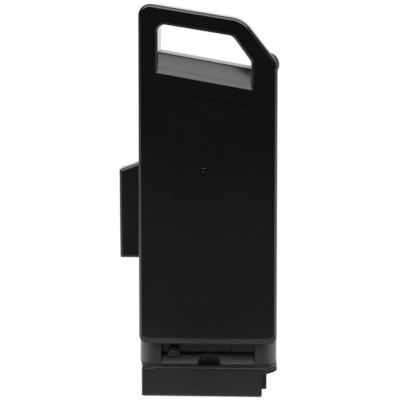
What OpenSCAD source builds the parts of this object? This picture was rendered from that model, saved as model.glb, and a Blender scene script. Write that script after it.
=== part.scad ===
// Slide-in battery for an electric bicycle: a tall casing of two half shells with a carrying
// handle, a guide block on its left edge and a stepped base. X runs across the side panel, Y
// runs from the panel (minus) to the back, Z is up and zero is the underside of the plinth.

/* [Cells] */
// Diameter of one cell
cell_d = 18.4; // [17:0.1:18.8]
// Length of one cell
cell_l = 65.2; // [60:0.2:72]
// Distance between neighbouring cells
cell_pitch = 19.4; // [19.2:0.1:20.5]
// Cells side by side, joined in one group
cell_cols = 6; // [5:1:7]
// Groups stacked on each other
cell_rows = 10; // [8:1:11]
// Depth of a cell holder along the cells
holder_d = 11; // [6:0.5:16]
// Plastic outside the outermost cells
holder_edge = 0.8; // [0.5:0.1:1.2]
// Gap round a cell in its holder
cell_gap = 0.12; // [0.05:0.01:0.2]
// Thickness of the welded strips
strip_t = 0.3; // [0.15:0.05:0.5]
// Width of a welded strip
strip_w = 9; // [6:0.5:12]
// Thickness of an insulation sheet
sheet_t = 0.5; // [0.3:0.1:0.8]
// Thickness of the foam between sheet and casing
foam_t = 3.4; // [2.6:0.1:5]

/* [Casing] */
// Wall of the half shells
wall = 2.8; // [2.4:0.1:3.4]
// Gap between the cell holders and the casing
pack_gap = 1.7; // [0.8:0.1:3]
// How far each side of the casing leans out towards the base
case_lean = 1.5; // [0:0.1:3]
// Rounding of the edges round the side panels
edge_r = 3.2; // [2:0.1:4]
// Height of the rounding along the foot of the side panels
foot_edge = 6; // [4:0.2:7]
// Space under the cells for the leads
under_h = 10; // [9:0.5:16]
// Space above the cells for the electronics
bay_h = 29; // [27:0.5:40]
// Top corner above the guide block
crown_r = 10.5; // [8:0.5:14]
// Bend between the top and the slanted corner
bend_r = 26; // [8:0.5:28]
// Bend between the slanted corner and the side
shoulder_r = 12; // [9:0.5:16]
// Corner at the foot of the side panel
foot_r = 8; // [6:0.5:10]

/* [Handle] */
// Width of the pillar above the guide block
left_pillar_w = 16.2; // [15:0.2:20]
// Width of the pillar under the slanted corner
right_pillar_w = 24.2; // [21:0.2:26]
// Height of the grip bar
bar_h = 16.6; // [14:0.2:20]
// Width of the slanted part of the handle, measured level
corner_w = 21.8; // [20:0.2:24]
// Slope of the top and of the grip
top_slope = 9.3; // [6:0.1:12]
// Slope of the floor under the grip
floor_slope = 10.2; // [8:0.1:12]
// Slope of the slanted corner
corner_slope = 51.5; // [48:0.5:55]
// Slope of the slanted corner inside the grip
grip_corner_slope = 53.5; // [50:0.5:56]
// How far the slanted corner reaches along the top
corner_run = 31.4; // [29:0.1:35]
// Height of the shoulder over the low end of the opening
shoulder_rise = 24; // [21:0.1:26]
// How far the floor under the grip rises over its edges
floor_rise = 18; // [12:0.5:21]
// Depth of the bevel along each edge of the floor
lip_d = 5; // [3:0.5:8]
// Height of that bevel
lip_h = 4.9; // [3:0.1:6]
// Depth of the steeper face behind the bevel
riser_d = 8; // [4:0.5:12]
// Rounding of the corners of the opening
opening_r = 6; // [3:0.5:8]
// Rounding of the lower corners of the opening
opening_foot_r = 3.5; // [2:0.5:6]

/* [Base] */
// Height of the waist between casing and plinth
neck_h = 21.6; // [20:0.2:26]
// How far the waist stands back from the panels
neck_inset = 7; // [5:0.5:9]
// How far the waist stands back from the narrow sides
neck_side_inset = 0.4; // [0.2:0.1:3]
// Upright corners of the waist
neck_r = 15; // [9:0.5:16]
// Height of the plinth with its flange
plinth_h = 31.4; // [28:0.2:36]
// Drop of the sloping rim round the waist
rim_drop = 1.3; // [1:0.1:4]
// Corners of the rim seen from above
flange_r = 12; // [6:0.5:14]
// Length of the plinth under the flange
plinth_l = 114.8; // [108:0.1:118]
// How far the plinth stands back under the guide block
plinth_side_inset = 1.6; // [0.5:0.1:3]
// How far the flange stands out under the button
flange_out = 0.7; // [0:0.1:1.5]
// Thickness of the flange where it overhangs
flange_t = 7.2; // [6:0.2:10]
// Rise of the underside of the overhang
flange_rise = 3.6; // [2:0.2:5]
// Rounding along the lower edges of the plinth
plinth_r = 7.4; // [4:0.2:9]
// Wall of the base pieces
base_wall = 3; // [2.4:0.1:4]
// Width of the window in the waist
window_w = 89.4; // [80:0.2:94]
// Height of the window
window_h = 16.6; // [14:0.2:17]
// Depth of the window
window_d = 15; // [12:0.5:16]
// Rise of the sloping window floor
ramp_h = 4.8; // [2:0.2:6]
// Radius of the latch pocket in the sill
latch_r = 11.1; // [8:0.1:13]
// Depth of the latch pocket
latch_h = 7; // [5:0.5:9]

/* [Guide block] */
// How far the block stands out of the casing
block_out = 20.1; // [16:0.2:24]
// Thickness of the block across the casing
block_t = 22; // [20:0.5:30]
// Height of the block at its outer face
block_h = 85.4; // [70:0.2:100]
// Height of the lower end of the block above the waist
block_lift = 76.6; // [60:0.2:90]
// Slope of the upper end of the block
block_slope = 20; // [10:1:30]
// Rounding of the edges of the block
block_r = 2; // [1:0.1:3]
// Radius of the bore for the lock bolt
lock_r = 5; // [4:0.1:6]
// Depth of the bore for the lock bolt
lock_l = 12; // [8:0.5:14]

/* [Button] */
// Radius of the push button
button_r = 7.2; // [6:0.1:8]
// Travel of the push button
button_travel = 1.2; // [0.6:0.1:2]
// How far the button stands out of its bezel
button_out = 2.6; // [2.2:0.1:4]
// Gap round the button
button_gap = 0.3; // [0.15:0.05:0.5]
// Rim of the bezel round the button
bezel_w = 1.6; // [1.2:0.1:2.2]
// Length of the sleeve behind the bezel
sleeve_l = 9.5; // [8:0.1:11]
// Length of the charge display window
display_l = 26; // [20:0.5:28]
// Width of the charge display window
display_w = 6; // [4:0.5:8]

/* [Screws] */
// Radius of the screw shanks
screw_r = 1.5; // [1.2:0.1:2]
// Radius of the screw heads
head_r = 3.1; // [2.6:0.1:3.6]
// Height of the screw heads
head_h = 2.2; // [1.6:0.1:2.8]
// Radius of the screw bosses
boss_r = 4.4; // [4:0.1:5]
// Gap round a screw head in its counterbore
head_gap = 0.5; // [0.3:0.05:0.8]

/* [Hidden] */
$fn = 48;
// A cut passes its surface by this much
overrun = 0.6;
// Working gap between pieces that are fitted together
fit_gap = 0.15;
// Gap beside a screw shank
shank_gap = 0.1;
// Steps of each rounded corner of an outline
arc_steps = 6;
// Thickness of the layers that a rounded edge is drawn through
layer_t = 0.02;

// Cell pack, from the cell sizes
pack_w = cell_cols * cell_pitch + 2 * holder_edge;
pack_h = cell_rows * cell_pitch + 2 * holder_edge;
sheet_y = cell_l / 2 + strip_t;
foam_y = sheet_y + sheet_t;
inner_y = foam_y + foam_t;
half_d = inner_y + wall;

// Heights, from the underside up
neck_z = plinth_h;
case_z = neck_z + neck_h;
floor_z = case_z + wall;
pack_z = floor_z + under_h;
pack_top = pack_z + pack_h;
open_z = pack_top + bay_h + wall;
shoulder_z = open_z + shoulder_rise;

// Half widths of the casing at the shoulder and at the foot
half_w = pack_w / 2 + pack_gap + wall;
half_low = half_w + case_lean;

// Corners of the casing seen from the panel side, from the lower left round
bend_x = half_w - corner_run;
bend_z = shoulder_z + corner_run * tan(corner_slope);
crown_z = bend_z + (bend_x + half_w) * tan(top_slope);
CASE = [[-half_low, case_z], [half_low, case_z], [half_w, shoulder_z], [bend_x, bend_z],
        [-half_w, crown_z]];
CASE_R = [foot_r, foot_r, shoulder_r, bend_r, crown_r];
function left_at(z) = -half_low + case_lean * (z - case_z) / (crown_z - case_z);
function right_at(z) = half_low - case_lean * (z - case_z) / (shoulder_z - case_z);
function top_at(x) = bend_z + (bend_x - x) * tan(top_slope);

// Corners of the handle opening
grip_x = half_w - right_pillar_w;
hold_x = -half_w + left_pillar_w;
grip_bend_x = bend_x - (corner_w - bar_h / tan(corner_slope))
    / (1 - tan(top_slope) / tan(corner_slope));
grip_bend_z = top_at(grip_bend_x) - bar_h;
grip_side_z = grip_bend_z - (grip_x - grip_bend_x) * tan(grip_corner_slope);
hold_z = open_z + (grip_x - hold_x) * tan(floor_slope);
OPENING = [[hold_x, hold_z], [grip_x, open_z], [grip_x, grip_side_z],
           [grip_bend_x, grip_bend_z], [hold_x, top_at(hold_x) - bar_h]];
OPENING_R = [opening_foot_r, opening_foot_r, opening_r, opening_r, opening_r];

// Waist and plinth
flange_x = half_low + flange_out;
plinth_x = half_low - plinth_side_inset;
neck_x = half_low - neck_side_inset;
neck_y = half_d - neck_inset;
plinth_corner_r = 3;
plinth_end = plinth_l - plinth_x;
flange_tip = 4;
plinth_chamfer = 2;
rim_z = neck_z - rim_drop;
sill_h = 1.1;
sill_z = neck_z + sill_h;
window_back = window_d - neck_y;
latch_x = 1;
latch_front = 4.2;
latch_front_r = (latch_r * latch_r + latch_front * latch_front) / (2 * latch_front);
groove_w = 0.8;
groove_share = 0.24;
groove_x = groove_share * window_w;

// Screws between the shells, each at a place seen from the panel side
shell_screw_x = half_w - wall - boss_r - pack_gap;
boss_sink = 1;
shell_screw_low = floor_z + boss_r - boss_sink;
shell_screw_high = pack_top + bay_h / 2;
SHELL_SCREWS = [[-shell_screw_x, shell_screw_low], [shell_screw_x, shell_screw_low],
                [-shell_screw_x, shell_screw_high], [hold_x - left_pillar_w / 2, shoulder_z],
                [(bend_x + grip_bend_x) / 2, (bend_z + grip_bend_z) / 2]];
thread_l = 8;
driver_w = 1;
driver_d = 1;

// Screws between waist and shells, and between plinth and waist
neck_screw_x = neck_x - neck_r;
neck_screw_y = neck_y - base_wall - boss_r;
cave_x = neck_screw_x - boss_r;
plinth_screw_y = 2 * boss_r;
plinth_screw_left = base_wall + head_r + head_gap - plinth_x;
plinth_screw_right = plinth_end - base_wall - head_r - head_gap;
cave_end = plinth_screw_right - boss_r;
cave_front = window_back + base_wall;
cave_back = neck_y - base_wall;
plinth_screw_z = plinth_h - rim_drop - thread_l;
shell_window_y = cave_back - wall;

// Screw in the window
window_screw_x = -32.9;
window_screw_z = sill_z + window_h / 2;
window_boss_r = 5.6;
window_boss_l = 10.5;
window_counter_r = 4.4;
window_counter_d = 2.4;

// Guide block on the left edge
block_x = -half_low - block_out;
block_z = case_z + block_lift;
block_mid = block_z + block_h / 2;
block_screw_z = block_h / 2 - 2 * boss_r;
block_screw_y = block_t / 4;
striker_w = 3;
striker_l = lock_l + 2;

// Push button on the rounded shoulder
button_tilt = (90 - corner_slope) / 2;
shoulder_cut = shoulder_r / cos(button_tilt) - shoulder_r;
button_x = half_w - shoulder_cut * cos(button_tilt);
button_z = shoulder_z - shoulder_cut * sin(button_tilt);
bezel_r = button_r + button_gap + bezel_w;
bezel_out = 0.6;
lip_w = 0.8;
lip_t = 1.4;
seat_l = 4;
dome_h = 1.8;
stem_r = 1.6;
switch_w = 6;
switch_h = 2;
press_gap = 0.1;
seat_gap = 0.05;
board_t = 1.6;

// Charge display on the narrow side
display_share = 0.6;
display_z = pack_top + bay_h * display_share;
display_rib = 1.6;
display_t = wall + display_rib;
display_x = right_at(display_z);
led_n = 5;
led_w = 2.4;
led_t = 1;
display_board_w = 18;

// Electronics above the cells
post_h = 3;
post_r = 2.2;
bms_w = 92;
bms_d = cell_l - holder_d / 2;
bms_x = 2 * boss_r + wall + pack_gap - half_w;
bms_z = pack_top + post_h;
bms_top = bms_z + board_t;
post_y = cell_l / 2 - holder_d / 2;
fet_n = 6;
fet_w = 9;
fet_share = 0.1675;
fet_d = fet_share * bms_d;
fet_h = 4.5;
fet_pitch = 11;
fet_start = 18;
fet_edge_share = 0.1826;
fet_edge = fet_edge_share * bms_d;
part_gap = 5;
fet_x = bms_x + fet_start;
fet_y = fet_d / 2 + fet_edge - bms_d / 2;
sink_h = 5;
sink_base = 2;
fin_n = 7;
fin_t = 1;
cap_n = 3;
cap_r = 4;
cap_h = 10;
cap_pitch = 10;
chip_w = 8;
chip_pitch = 12;
chip_h = 1.2;
fuse_share = 0.318;
fuse_w = fuse_share * bms_d;
fuse_d = 5;
fuse_h = 11;
fuse_inset = 14;
fuse_x = bms_x + bms_w - fuse_inset;
fuse_wall = 1.6;
fuse_base = 2;
fuse_deep = 5;

// Leads behind the cells, down to the connector
lead_w = 8;
lead_t = 1;
lead_gap = 0.3;
lead_y = foam_y + lead_gap;
lead_top_y = bms_d / 2 - lead_w / 2;
lead_low_y = 20;
lead_low_z = floor_z + wall;
harness_w = 14;
harness_t = 1.2;
plug_w = 20;
plug_d = 6;
plug_h = 7;
bead_w = 5;
bead_d = 3;
bead_h = 1.8;
foam_w = 12;
plug_y = bms_d / 2 - plug_d / 2 - plug_d;
cap_y = plug_y - part_gap - cap_r;
fuse_y = plug_y - part_gap / 2 - fuse_w / 2 - fuse_wall;

// Connector in the underside of the plinth
socket_w = 40;
socket_d = 30;
socket_h = 18;
socket_x = -29;
connector_h = 7;
blade_w = 8;
blade_t = 2;
blade_x = 11;
blade_tip = 5;
blade_stub = 2;
blade_top = socket_h + base_wall + blade_stub;
pin_r = 1;
pin_n = 4;
pin_pitch = 3.2;
seal_w = 1;
seal_h = 1.6;
seal_gap = 0.05;
socket_seal_w = 1.6;

// Shallow wedge-shaped panel recess and round vent
panel_x = -29.6;
panel_rise = 13.6;
panel_top = pack_top + panel_rise;
panel_depth = 0.7;
panel_h = 118;
panel_r = 10;
panel_end = half_w - edge_r;
vent_x = -4.3;
vent_drop = 44.5;
vent_z = pack_top - vent_drop;
vent_r = 3.9;
vent_sunk = 0.2;
vent_ring = 0.7;
vent_dot = 0.9;

// Key tab at the end of the plinth
tab_out = 4.8;
tab_z = 2.2;
tab_h = rim_z - flange_t - tab_z;
tab_w = 24;
tab_root = 3;
tab_r = 1.5;

// Unit vector from a to b
function towards(a, b) = (b - a) / norm(b - a);

// Half of the angle at corner i of a ring of points, and the direction from it into the ring
function half_angle(p, i) = let (n = len(p)) acos(towards(p[i], p[(i + n - 1) % n])
    * towards(p[i], p[(i + 1) % n])) / 2;
function inward(p, i) = let (n = len(p), v = towards(p[i], p[(i + n - 1) % n])
    + towards(p[i], p[(i + 1) % n])) v / norm(v);

// The ring moved inwards by d, and the ring with each corner i rounded to radius r[i]
function inset(p, d) = [for (i = [0 : len(p) - 1]) p[i] + inward(p, i) * d / sin(half_angle(p, i))];
function rounded(p, r) = [for (i = [0 : len(p) - 1]) let (h = half_angle(p, i), v = inward(p, i),
    c = p[i] + v * r[i] / sin(h), mid = atan2(-v[1], -v[0]), sweep = 90 - h)
    for (k = [0 : arc_steps]) let (t = mid + sweep * (2 * k / arc_steps - 1))
    c + r[i] * [cos(t), sin(t)]];

// Outlines seen from the panel side, moved inwards or outwards by d, with the foot raised by lift
module case_outline(d, lift = 0) {
    raised = [for (k = [0 : len(CASE) - 1]) CASE[k] + [0, k < 2 ? lift : 0]];
    polygon(rounded(inset(raised, d), [for (r = CASE_R) max(r - d, edge_r / 2)]));
}
module opening_outline(d) {
    polygon(rounded(inset(OPENING, -d), [for (r = OPENING_R) r + d]));
}

// A drawing in X and Z, drawn out along Y from y0 to y1
module drawn(y0, y1) {
    translate([0, y1, 0]) rotate([90, 0, 0]) linear_extrude(y1 - y0) children();
}

// A drawing in Y and Z, drawn out along X from x0 to x1
module ranged(x0, x1) {
    translate([x0, 0, 0]) rotate([90, 0, 90]) linear_extrude(x1 - x0) children();
}

// A box from its lowest to its highest corner
module box(low, high) {
    translate(low) cube(high - low);
}

// A plate in X and Y with rounded corners
module plate(x0, x1, y0, y1, r, h) {
    linear_extrude(h) polygon(rounded([[x0, y0], [x1, y0], [x1, y1], [x0, y1]], [r, r, r, r]));
}

// A round bar along Y or X from a given start
module bar_y(x, y0, y1, z, r) {
    translate([x, y1, z]) rotate([90, 0, 0]) cylinder(h = y1 - y0, r = r);
}
module bar_x(x0, x1, y, z, r) {
    translate([x0, y, z]) rotate([0, 90, 0]) cylinder(h = x1 - x0, r = r);
}

// A screw whose head sits under its own origin and whose shank points up
module screw(shank) {
    difference() {
        union() {
            translate([0, 0, -head_h]) cylinder(h = head_h, r = head_r);
            cylinder(h = shank, r = screw_r);
        }
        box([-head_r - overrun, -driver_w / 2, -head_h - overrun],
            [head_r + overrun, driver_w / 2, driver_d - head_h]);
    }
}

// Casing half on the panel side, filled, with a rounded edge round the panel
module half_case() {
    hull() {
        for (k = [0 : arc_steps - 1]) let (a = 90 * k / arc_steps, y = edge_r * (1 - sin(a)) - half_d)
            drawn(y, y + layer_t) case_outline(edge_r * (1 - sin(90 - a)),
                                               (foot_edge - edge_r) * (1 - sin(90 - a)));
        drawn(edge_r - half_d, 0) case_outline(0);
    }
}

// Raised floor of the handle opening, lowered by drop
module raised_floor(drop) {
    lip_y = half_d - lip_d;
    top_y = lip_y - riser_d;
    root = 2 * wall;
    run = 2 * (grip_x - hold_x);
    translate([grip_x + wall, 0, open_z - drop]) rotate([0, floor_slope, 0])
        rotate([90, 0, -90]) linear_extrude(run)
            polygon([[half_d, -root], [half_d, 0], [lip_y, lip_h], [top_y, floor_rise],
                     [-top_y, floor_rise], [-lip_y, lip_h], [-half_d, 0], [-half_d, -root]]);
}

// Bosses of a half shell: along Y for the shell screws, upright for the screws of the waist
module shell_bosses() {
    for (s = SHELL_SCREWS) bar_y(s[0], -inner_y - wall / 2, 0, s[1], boss_r);
    for (sx = [-1, 1]) translate([sx * neck_screw_x, -neck_screw_y, case_z + wall / 2])
        cylinder(h = under_h - wall / 2, r = boss_r);
}

// Half shell on the panel side, before its own cuts, with half of a window of depth window_y
// in its floor
module shell_blank(window_y) {
    difference() {
        half_case();
        difference() {
            drawn(-inner_y, overrun) case_outline(wall);
            difference() {
                drawn(-half_d, 2 * overrun) opening_outline(wall);
                raised_floor(wall);
            }
            shell_bosses();
        }
        difference() {
            drawn(-half_d - overrun, overrun) opening_outline(0);
            raised_floor(0);
        }
        difference() {
            drawn(-seal_h / 2, overrun) case_outline(wall / 2 - seal_w / 2 - seal_gap);
            drawn(-half_d, 2 * overrun) case_outline(wall / 2 + seal_w / 2 + seal_gap);
        }
        box([-cave_x, -window_y, case_z - overrun], [cave_x, overrun, floor_z + overrun]);
        for (sx = [-1, 1]) translate([sx * neck_screw_x, -neck_screw_y, case_z - overrun])
            cylinder(h = under_h + overrun, r = screw_r + shank_gap);
        for (s = [-1, 1]) bar_x(block_x, 0, -block_screw_y, block_mid + s * block_screw_z,
                                screw_r + shank_gap);
        button_place() translate([0, 0, -sleeve_l - board_t - overrun])
            cylinder(h = 2 * sleeve_l, r = bezel_r + fit_gap);
        display_cut(fit_gap);
    }
}

// Wedge that is cut from the panel, deepest along its sloping upper edge
module panel_wedge() {
    low = panel_top - panel_h;
    high = panel_top + (panel_end - panel_x) * tan(top_slope);
    intersection() {
        drawn(-half_d - overrun, -inner_y) polygon(rounded(
            [[panel_x, low], [panel_end, low], [panel_end, panel_top], [panel_x, high]],
            [panel_r, overrun, panel_r / 2, panel_r]));
        ranged(panel_x, panel_end) polygon([[-half_d - overrun, low], [-half_d, low],
            [panel_depth - half_d, panel_top], [panel_depth - half_d, high],
            [-half_d - overrun, high]]);
    }
}

module front_shell() {
    color([0.07, 0.07, 0.075]) difference() {
        shell_blank(-cave_front);
        panel_wedge();
        bar_y(vent_x, -half_d - overrun, -inner_y + overrun, vent_z, vent_r + fit_gap);
        for (s = SHELL_SCREWS) bar_y(s[0], -thread_l, overrun, s[1], screw_r + shank_gap);
    }
}

module rear_shell() {
    color([0.07, 0.07, 0.075]) difference() {
        mirror([0, 1, 0]) shell_blank(shell_window_y);
        for (s = SHELL_SCREWS) {
            bar_y(s[0], -overrun, half_d + overrun, s[1], screw_r + shank_gap);
            bar_y(s[0], thread_l, half_d + overrun, s[1], head_r + head_gap);
        }
    }
}

module shell_seal() {
    color([0.2, 0.2, 0.22]) difference() {
        drawn(-seal_h / 2, seal_h / 2) case_outline(wall / 2 - seal_w / 2);
        drawn(-seal_h, seal_h) case_outline(wall / 2 + seal_w / 2);
        button_place() translate([0, 0, -sleeve_l]) cylinder(h = 2 * sleeve_l, r = bezel_r + fit_gap);
        display_cut(fit_gap);
        box([-cave_x, -seal_h, case_z - overrun], [cave_x, seal_h, floor_z + overrun]);
    }
}

module shell_screws() {
    color([0.6, 0.6, 0.62]) for (s = SHELL_SCREWS)
        translate([s[0], thread_l, s[1]]) rotate([90, 0, 0]) screw(2 * thread_l - overrun);
}

module vent_plug() {
    face = vent_sunk - half_d;
    color([0.06, 0.06, 0.06]) difference() {
        union() {
            bar_y(vent_x, face, -inner_y, vent_z, vent_r);
            bar_y(vent_x, face - vent_sunk, face, vent_z, vent_dot);
        }
        difference() {
            bar_y(vent_x, face - overrun, face + vent_ring / 2, vent_z, vent_r - vent_ring);
            bar_y(vent_x, face - 2 * overrun, face + vent_ring, vent_z, vent_r - 2 * vent_ring);
        }
    }
}

// Guide block, with a sloping upper end and a bore for the lock bolt
module guide_block() {
    top = block_z + block_h;
    rise = (left_at(top) - block_x) * tan(block_slope);
    color([0.09, 0.09, 0.095]) difference() {
        intersection() {
            drawn(-block_t / 2, block_t / 2) polygon([[left_at(block_z), block_z],
                [left_at(top + rise), top + rise], [block_x, top], [block_x, block_z + block_r],
                [block_x + block_r, block_z]]);
            translate([0, 0, block_z]) plate(block_x, 2 * block_r - half_w, -block_t / 2,
                                             block_t / 2, block_r, block_h + 2 * rise);
        }
        bar_x(block_x - overrun, block_x + striker_l + fit_gap, 0, block_mid,
              lock_r + striker_w + fit_gap);
        for (s = [-1, 1], t = [-1, 1]) {
            bar_x(block_x, 0, t * block_screw_y, block_mid + s * block_screw_z,
                  screw_r + shank_gap);
            bar_x(block_x - overrun, block_x + block_out / 2, t * block_screw_y,
                  block_mid + s * block_screw_z, head_r + head_gap);
        }
    }
}

module block_screws() {
    color([0.6, 0.6, 0.62]) for (s = [-1, 1], t = [-1, 1])
        let (z = block_mid + s * block_screw_z, x = block_x + block_out / 2)
        translate([x, t * block_screw_y, z]) rotate([0, 90, 0]) screw(left_at(z) + wall - x);
}

module lock_striker() {
    color([0.7, 0.7, 0.72]) difference() {
        bar_x(block_x, block_x + striker_l, 0, block_mid, lock_r + striker_w);
        bar_x(block_x - overrun, block_x + lock_l, 0, block_mid, lock_r);
    }
}

// Latch pocket: round at the back, with a flatter arc in front of the sill
module latch_cut(z0, z1) {
    translate([latch_x, -neck_y, z0]) intersection() {
        cylinder(h = z1 - z0, r = latch_r);
        translate([0, latch_front_r - latch_front, 0]) cylinder(h = z1 - z0, r = latch_front_r);
    }
}

// Hollow that the leads pass through, inside waist and plinth
module lead_cave(z0, z1) {
    box([-cave_x, cave_front, z0], [cave_end, cave_back, z1]);
}

// Shanks or bores of the screws from below
module neck_screw_bars(z0, z1, r) {
    for (sx = [-1, 1], sy = [-1, 1])
        translate([sx * neck_screw_x, sy * neck_screw_y, z0]) cylinder(h = z1 - z0, r = r);
}
module plinth_screw_bars(z0, z1, r) {
    for (x = [plinth_screw_left, plinth_screw_right], sy = [-1, 1])
        translate([x, sy * plinth_screw_y, z0]) cylinder(h = z1 - z0, r = r);
}

module neck_ring(out, h) {
    plate(out - neck_x, neck_x - out, out - neck_y, neck_y - out, neck_r - out, h);
}

module neck() {
    color([0.1, 0.1, 0.105]) difference() {
        union() {
            difference() {
                translate([0, 0, neck_z]) neck_ring(0, neck_h);
                ranged(-window_w / 2, window_w / 2) polygon([
                    [-neck_y - overrun, sill_z], [-neck_y, sill_z], [window_back, sill_z + ramp_h],
                    [window_back, sill_z + window_h], [-neck_y - overrun, sill_z + window_h]]);
                box([groove_x - groove_w / 2, window_back - overrun, sill_z],
                    [groove_x + groove_w / 2, window_back + groove_w, sill_z + window_h]);
            }
            bar_y(window_screw_x, window_back - window_boss_l, window_back + base_wall / 2,
                  window_screw_z, window_boss_r);
        }
        lead_cave(neck_z - overrun, case_z + overrun);
        latch_cut(neck_z - overrun, sill_z + window_h / 2);
        neck_screw_bars(neck_z, case_z + overrun, screw_r + shank_gap);
        neck_screw_bars(neck_z - overrun, neck_z + 2 * head_h, head_r + head_gap);
        plinth_screw_bars(neck_z - overrun, neck_z + thread_l, screw_r + shank_gap);
        bar_y(window_screw_x, window_back - window_boss_l - overrun,
              window_back - window_boss_l + window_counter_d, window_screw_z, window_counter_r);
        bar_y(window_screw_x, window_back - window_boss_l, cave_front + overrun, window_screw_z,
              screw_r + shank_gap);
        translate([0, 0, case_z - seal_h]) difference() {
            neck_ring(wall - seal_gap, seal_h + overrun);
            translate([0, 0, -overrun]) neck_ring(wall + seal_w + seal_gap, seal_h + 3 * overrun);
        }
    }
}

module neck_seal() {
    color([0.25, 0.25, 0.27]) translate([0, 0, case_z - seal_h]) difference() {
        neck_ring(wall, seal_h);
        translate([0, 0, -overrun]) neck_ring(wall + seal_w, seal_h + 2 * overrun);
    }
}

module neck_screws() {
    color([0.6, 0.6, 0.62]) for (sx = [-1, 1], sy = [-1, 1])
        translate([sx * neck_screw_x, sy * neck_screw_y, neck_z + 2 * head_h])
            screw(neck_h - 2 * head_h + under_h - wall);
}

module window_screw() {
    color([0.55, 0.55, 0.57])
        translate([window_screw_x, window_back - window_boss_l + window_counter_d, window_screw_z])
            rotate([-90, 0, 0]) screw(window_boss_l - window_counter_d + base_wall - overrun);
}

// Plinth: round along its lower edges, with a flange that overhangs at the button end
module plinth() {
    low = rim_z - flange_t;
    color([0.1, 0.1, 0.105]) difference() {
        union() {
            intersection() {
                drawn(-half_d, half_d) polygon([[plinth_chamfer - plinth_x, 0],
                    [plinth_end - plinth_chamfer, 0], [plinth_end, plinth_chamfer],
                    [plinth_end, low], [flange_x - flange_tip, low + flange_rise],
                    [flange_x, low + flange_rise + flange_tip / 2], [flange_x, rim_z],
                    [-plinth_x, rim_z], [-plinth_x, plinth_chamfer]]);
                ranged(-plinth_x, flange_x) polygon(rounded(
                    [[-half_d, 0], [half_d, 0], [half_d, rim_z], [-half_d, rim_z]],
                    [plinth_r, plinth_r, layer_t, layer_t]));
                plate(-plinth_x, flange_x, -half_d, half_d, plinth_corner_r, rim_z);
            }
            hull() {
                translate([0, 0, rim_z - layer_t])
                    plate(-plinth_x, flange_x, -half_d, half_d, flange_r, layer_t);
                translate([0, 0, neck_z - layer_t]) neck_ring(0, layer_t);
            }
        }
        lead_cave(socket_h + base_wall, neck_z + overrun);
        box([socket_x + socket_w / 2 + base_wall, cave_front, base_wall],
            [cave_end, cave_back, socket_h + base_wall + overrun]);
        box([socket_x - socket_w / 2, -socket_d / 2, -overrun],
            [socket_x + socket_w / 2, socket_d / 2, socket_h]);
        blade_boxes(socket_h - overrun, socket_h + base_wall + overrun, fit_gap);
        pin_bars(socket_h - overrun, socket_h + base_wall + overrun, pin_r + fit_gap);
        latch_cut(neck_z - latch_h, neck_z + overrun);
        plinth_screw_bars(-overrun, plinth_screw_z, head_r + head_gap);
        plinth_screw_bars(0, neck_z + overrun, screw_r + shank_gap);
        box([plinth_end - tab_root, -tab_w / 2 - fit_gap, tab_z - fit_gap],
            [plinth_end + overrun, tab_w / 2 + fit_gap, tab_z + tab_h]);
    }
}

module plinth_screws() {
    color([0.6, 0.6, 0.62]) for (x = [plinth_screw_left, plinth_screw_right], sy = [-1, 1])
        translate([x, sy * plinth_screw_y, plinth_screw_z])
            screw(neck_z - plinth_screw_z + thread_l - overrun);
}

module key_tab() {
    color([0.08, 0.08, 0.08]) drawn(-tab_w / 2, tab_w / 2)
        polygon(rounded([[plinth_end - tab_root, tab_z], [plinth_end + tab_out, tab_z],
                         [plinth_end + tab_out, tab_z + tab_h], [plinth_end - tab_root, tab_z + tab_h]],
                        [layer_t, tab_r, layer_t, layer_t]));
}

// Contacts, as boxes and bars from z0 to z1
module blade_boxes(z0, z1, gap) {
    for (s = [-1, 1])
        box([socket_x + s * blade_x - blade_w / 2 - gap, -blade_t / 2 - gap, z0],
            [socket_x + s * blade_x + blade_w / 2 + gap, blade_t / 2 + gap, z1]);
}
module pin_bars(z0, z1, r) {
    for (k = [0 : pin_n - 1])
        translate([socket_x + (k - (pin_n - 1) / 2) * pin_pitch, 0, z0])
            cylinder(h = z1 - z0, r = r);
}

module connector_body() {
    color([0.05, 0.05, 0.05]) difference() {
        box([socket_x - socket_w / 2 + fit_gap, fit_gap - socket_d / 2, socket_h - connector_h],
            [socket_x + socket_w / 2 - fit_gap, socket_d / 2 - fit_gap, socket_h]);
        blade_boxes(socket_h - connector_h - overrun, socket_h + overrun, seal_gap);
        pin_bars(socket_h - connector_h - overrun, socket_h + overrun, pin_r + seal_gap);
    }
}

module connector_seal() {
    z0 = socket_h - connector_h - seal_h;
    color([0.25, 0.25, 0.27]) difference() {
        box([socket_x - socket_w / 2 + fit_gap, fit_gap - socket_d / 2, z0],
            [socket_x + socket_w / 2 - fit_gap, socket_d / 2 - fit_gap, z0 + seal_h]);
        box([socket_x - socket_w / 2 + socket_seal_w, socket_seal_w - socket_d / 2, z0 - overrun],
            [socket_x + socket_w / 2 - socket_seal_w, socket_d / 2 - socket_seal_w,
             z0 + seal_h + overrun]);
    }
}

module power_blades() {
    color([0.8, 0.65, 0.35]) blade_boxes(blade_tip, blade_top, 0);
}

module signal_pins() {
    color([0.8, 0.65, 0.35]) pin_bars(blade_tip, blade_top, pin_r);
}

// Places a piece at the shoulder with its own Z pointing out of the casing
module button_place() {
    translate([button_x, 0, button_z]) rotate([0, 90 - button_tilt, 0]) children();
}

module button_bezel() {
    color([0.05, 0.05, 0.05]) button_place() difference() {
        translate([0, 0, -sleeve_l]) cylinder(h = sleeve_l + bezel_out, r = bezel_r);
        translate([0, 0, -sleeve_l - overrun])
            cylinder(h = sleeve_l + 2 * overrun + bezel_out, r = button_r + button_gap);
        translate([0, 0, -sleeve_l - overrun])
            cylinder(h = sleeve_l + overrun - seat_l, r = button_r + lip_w + button_gap);
    }
}

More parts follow.
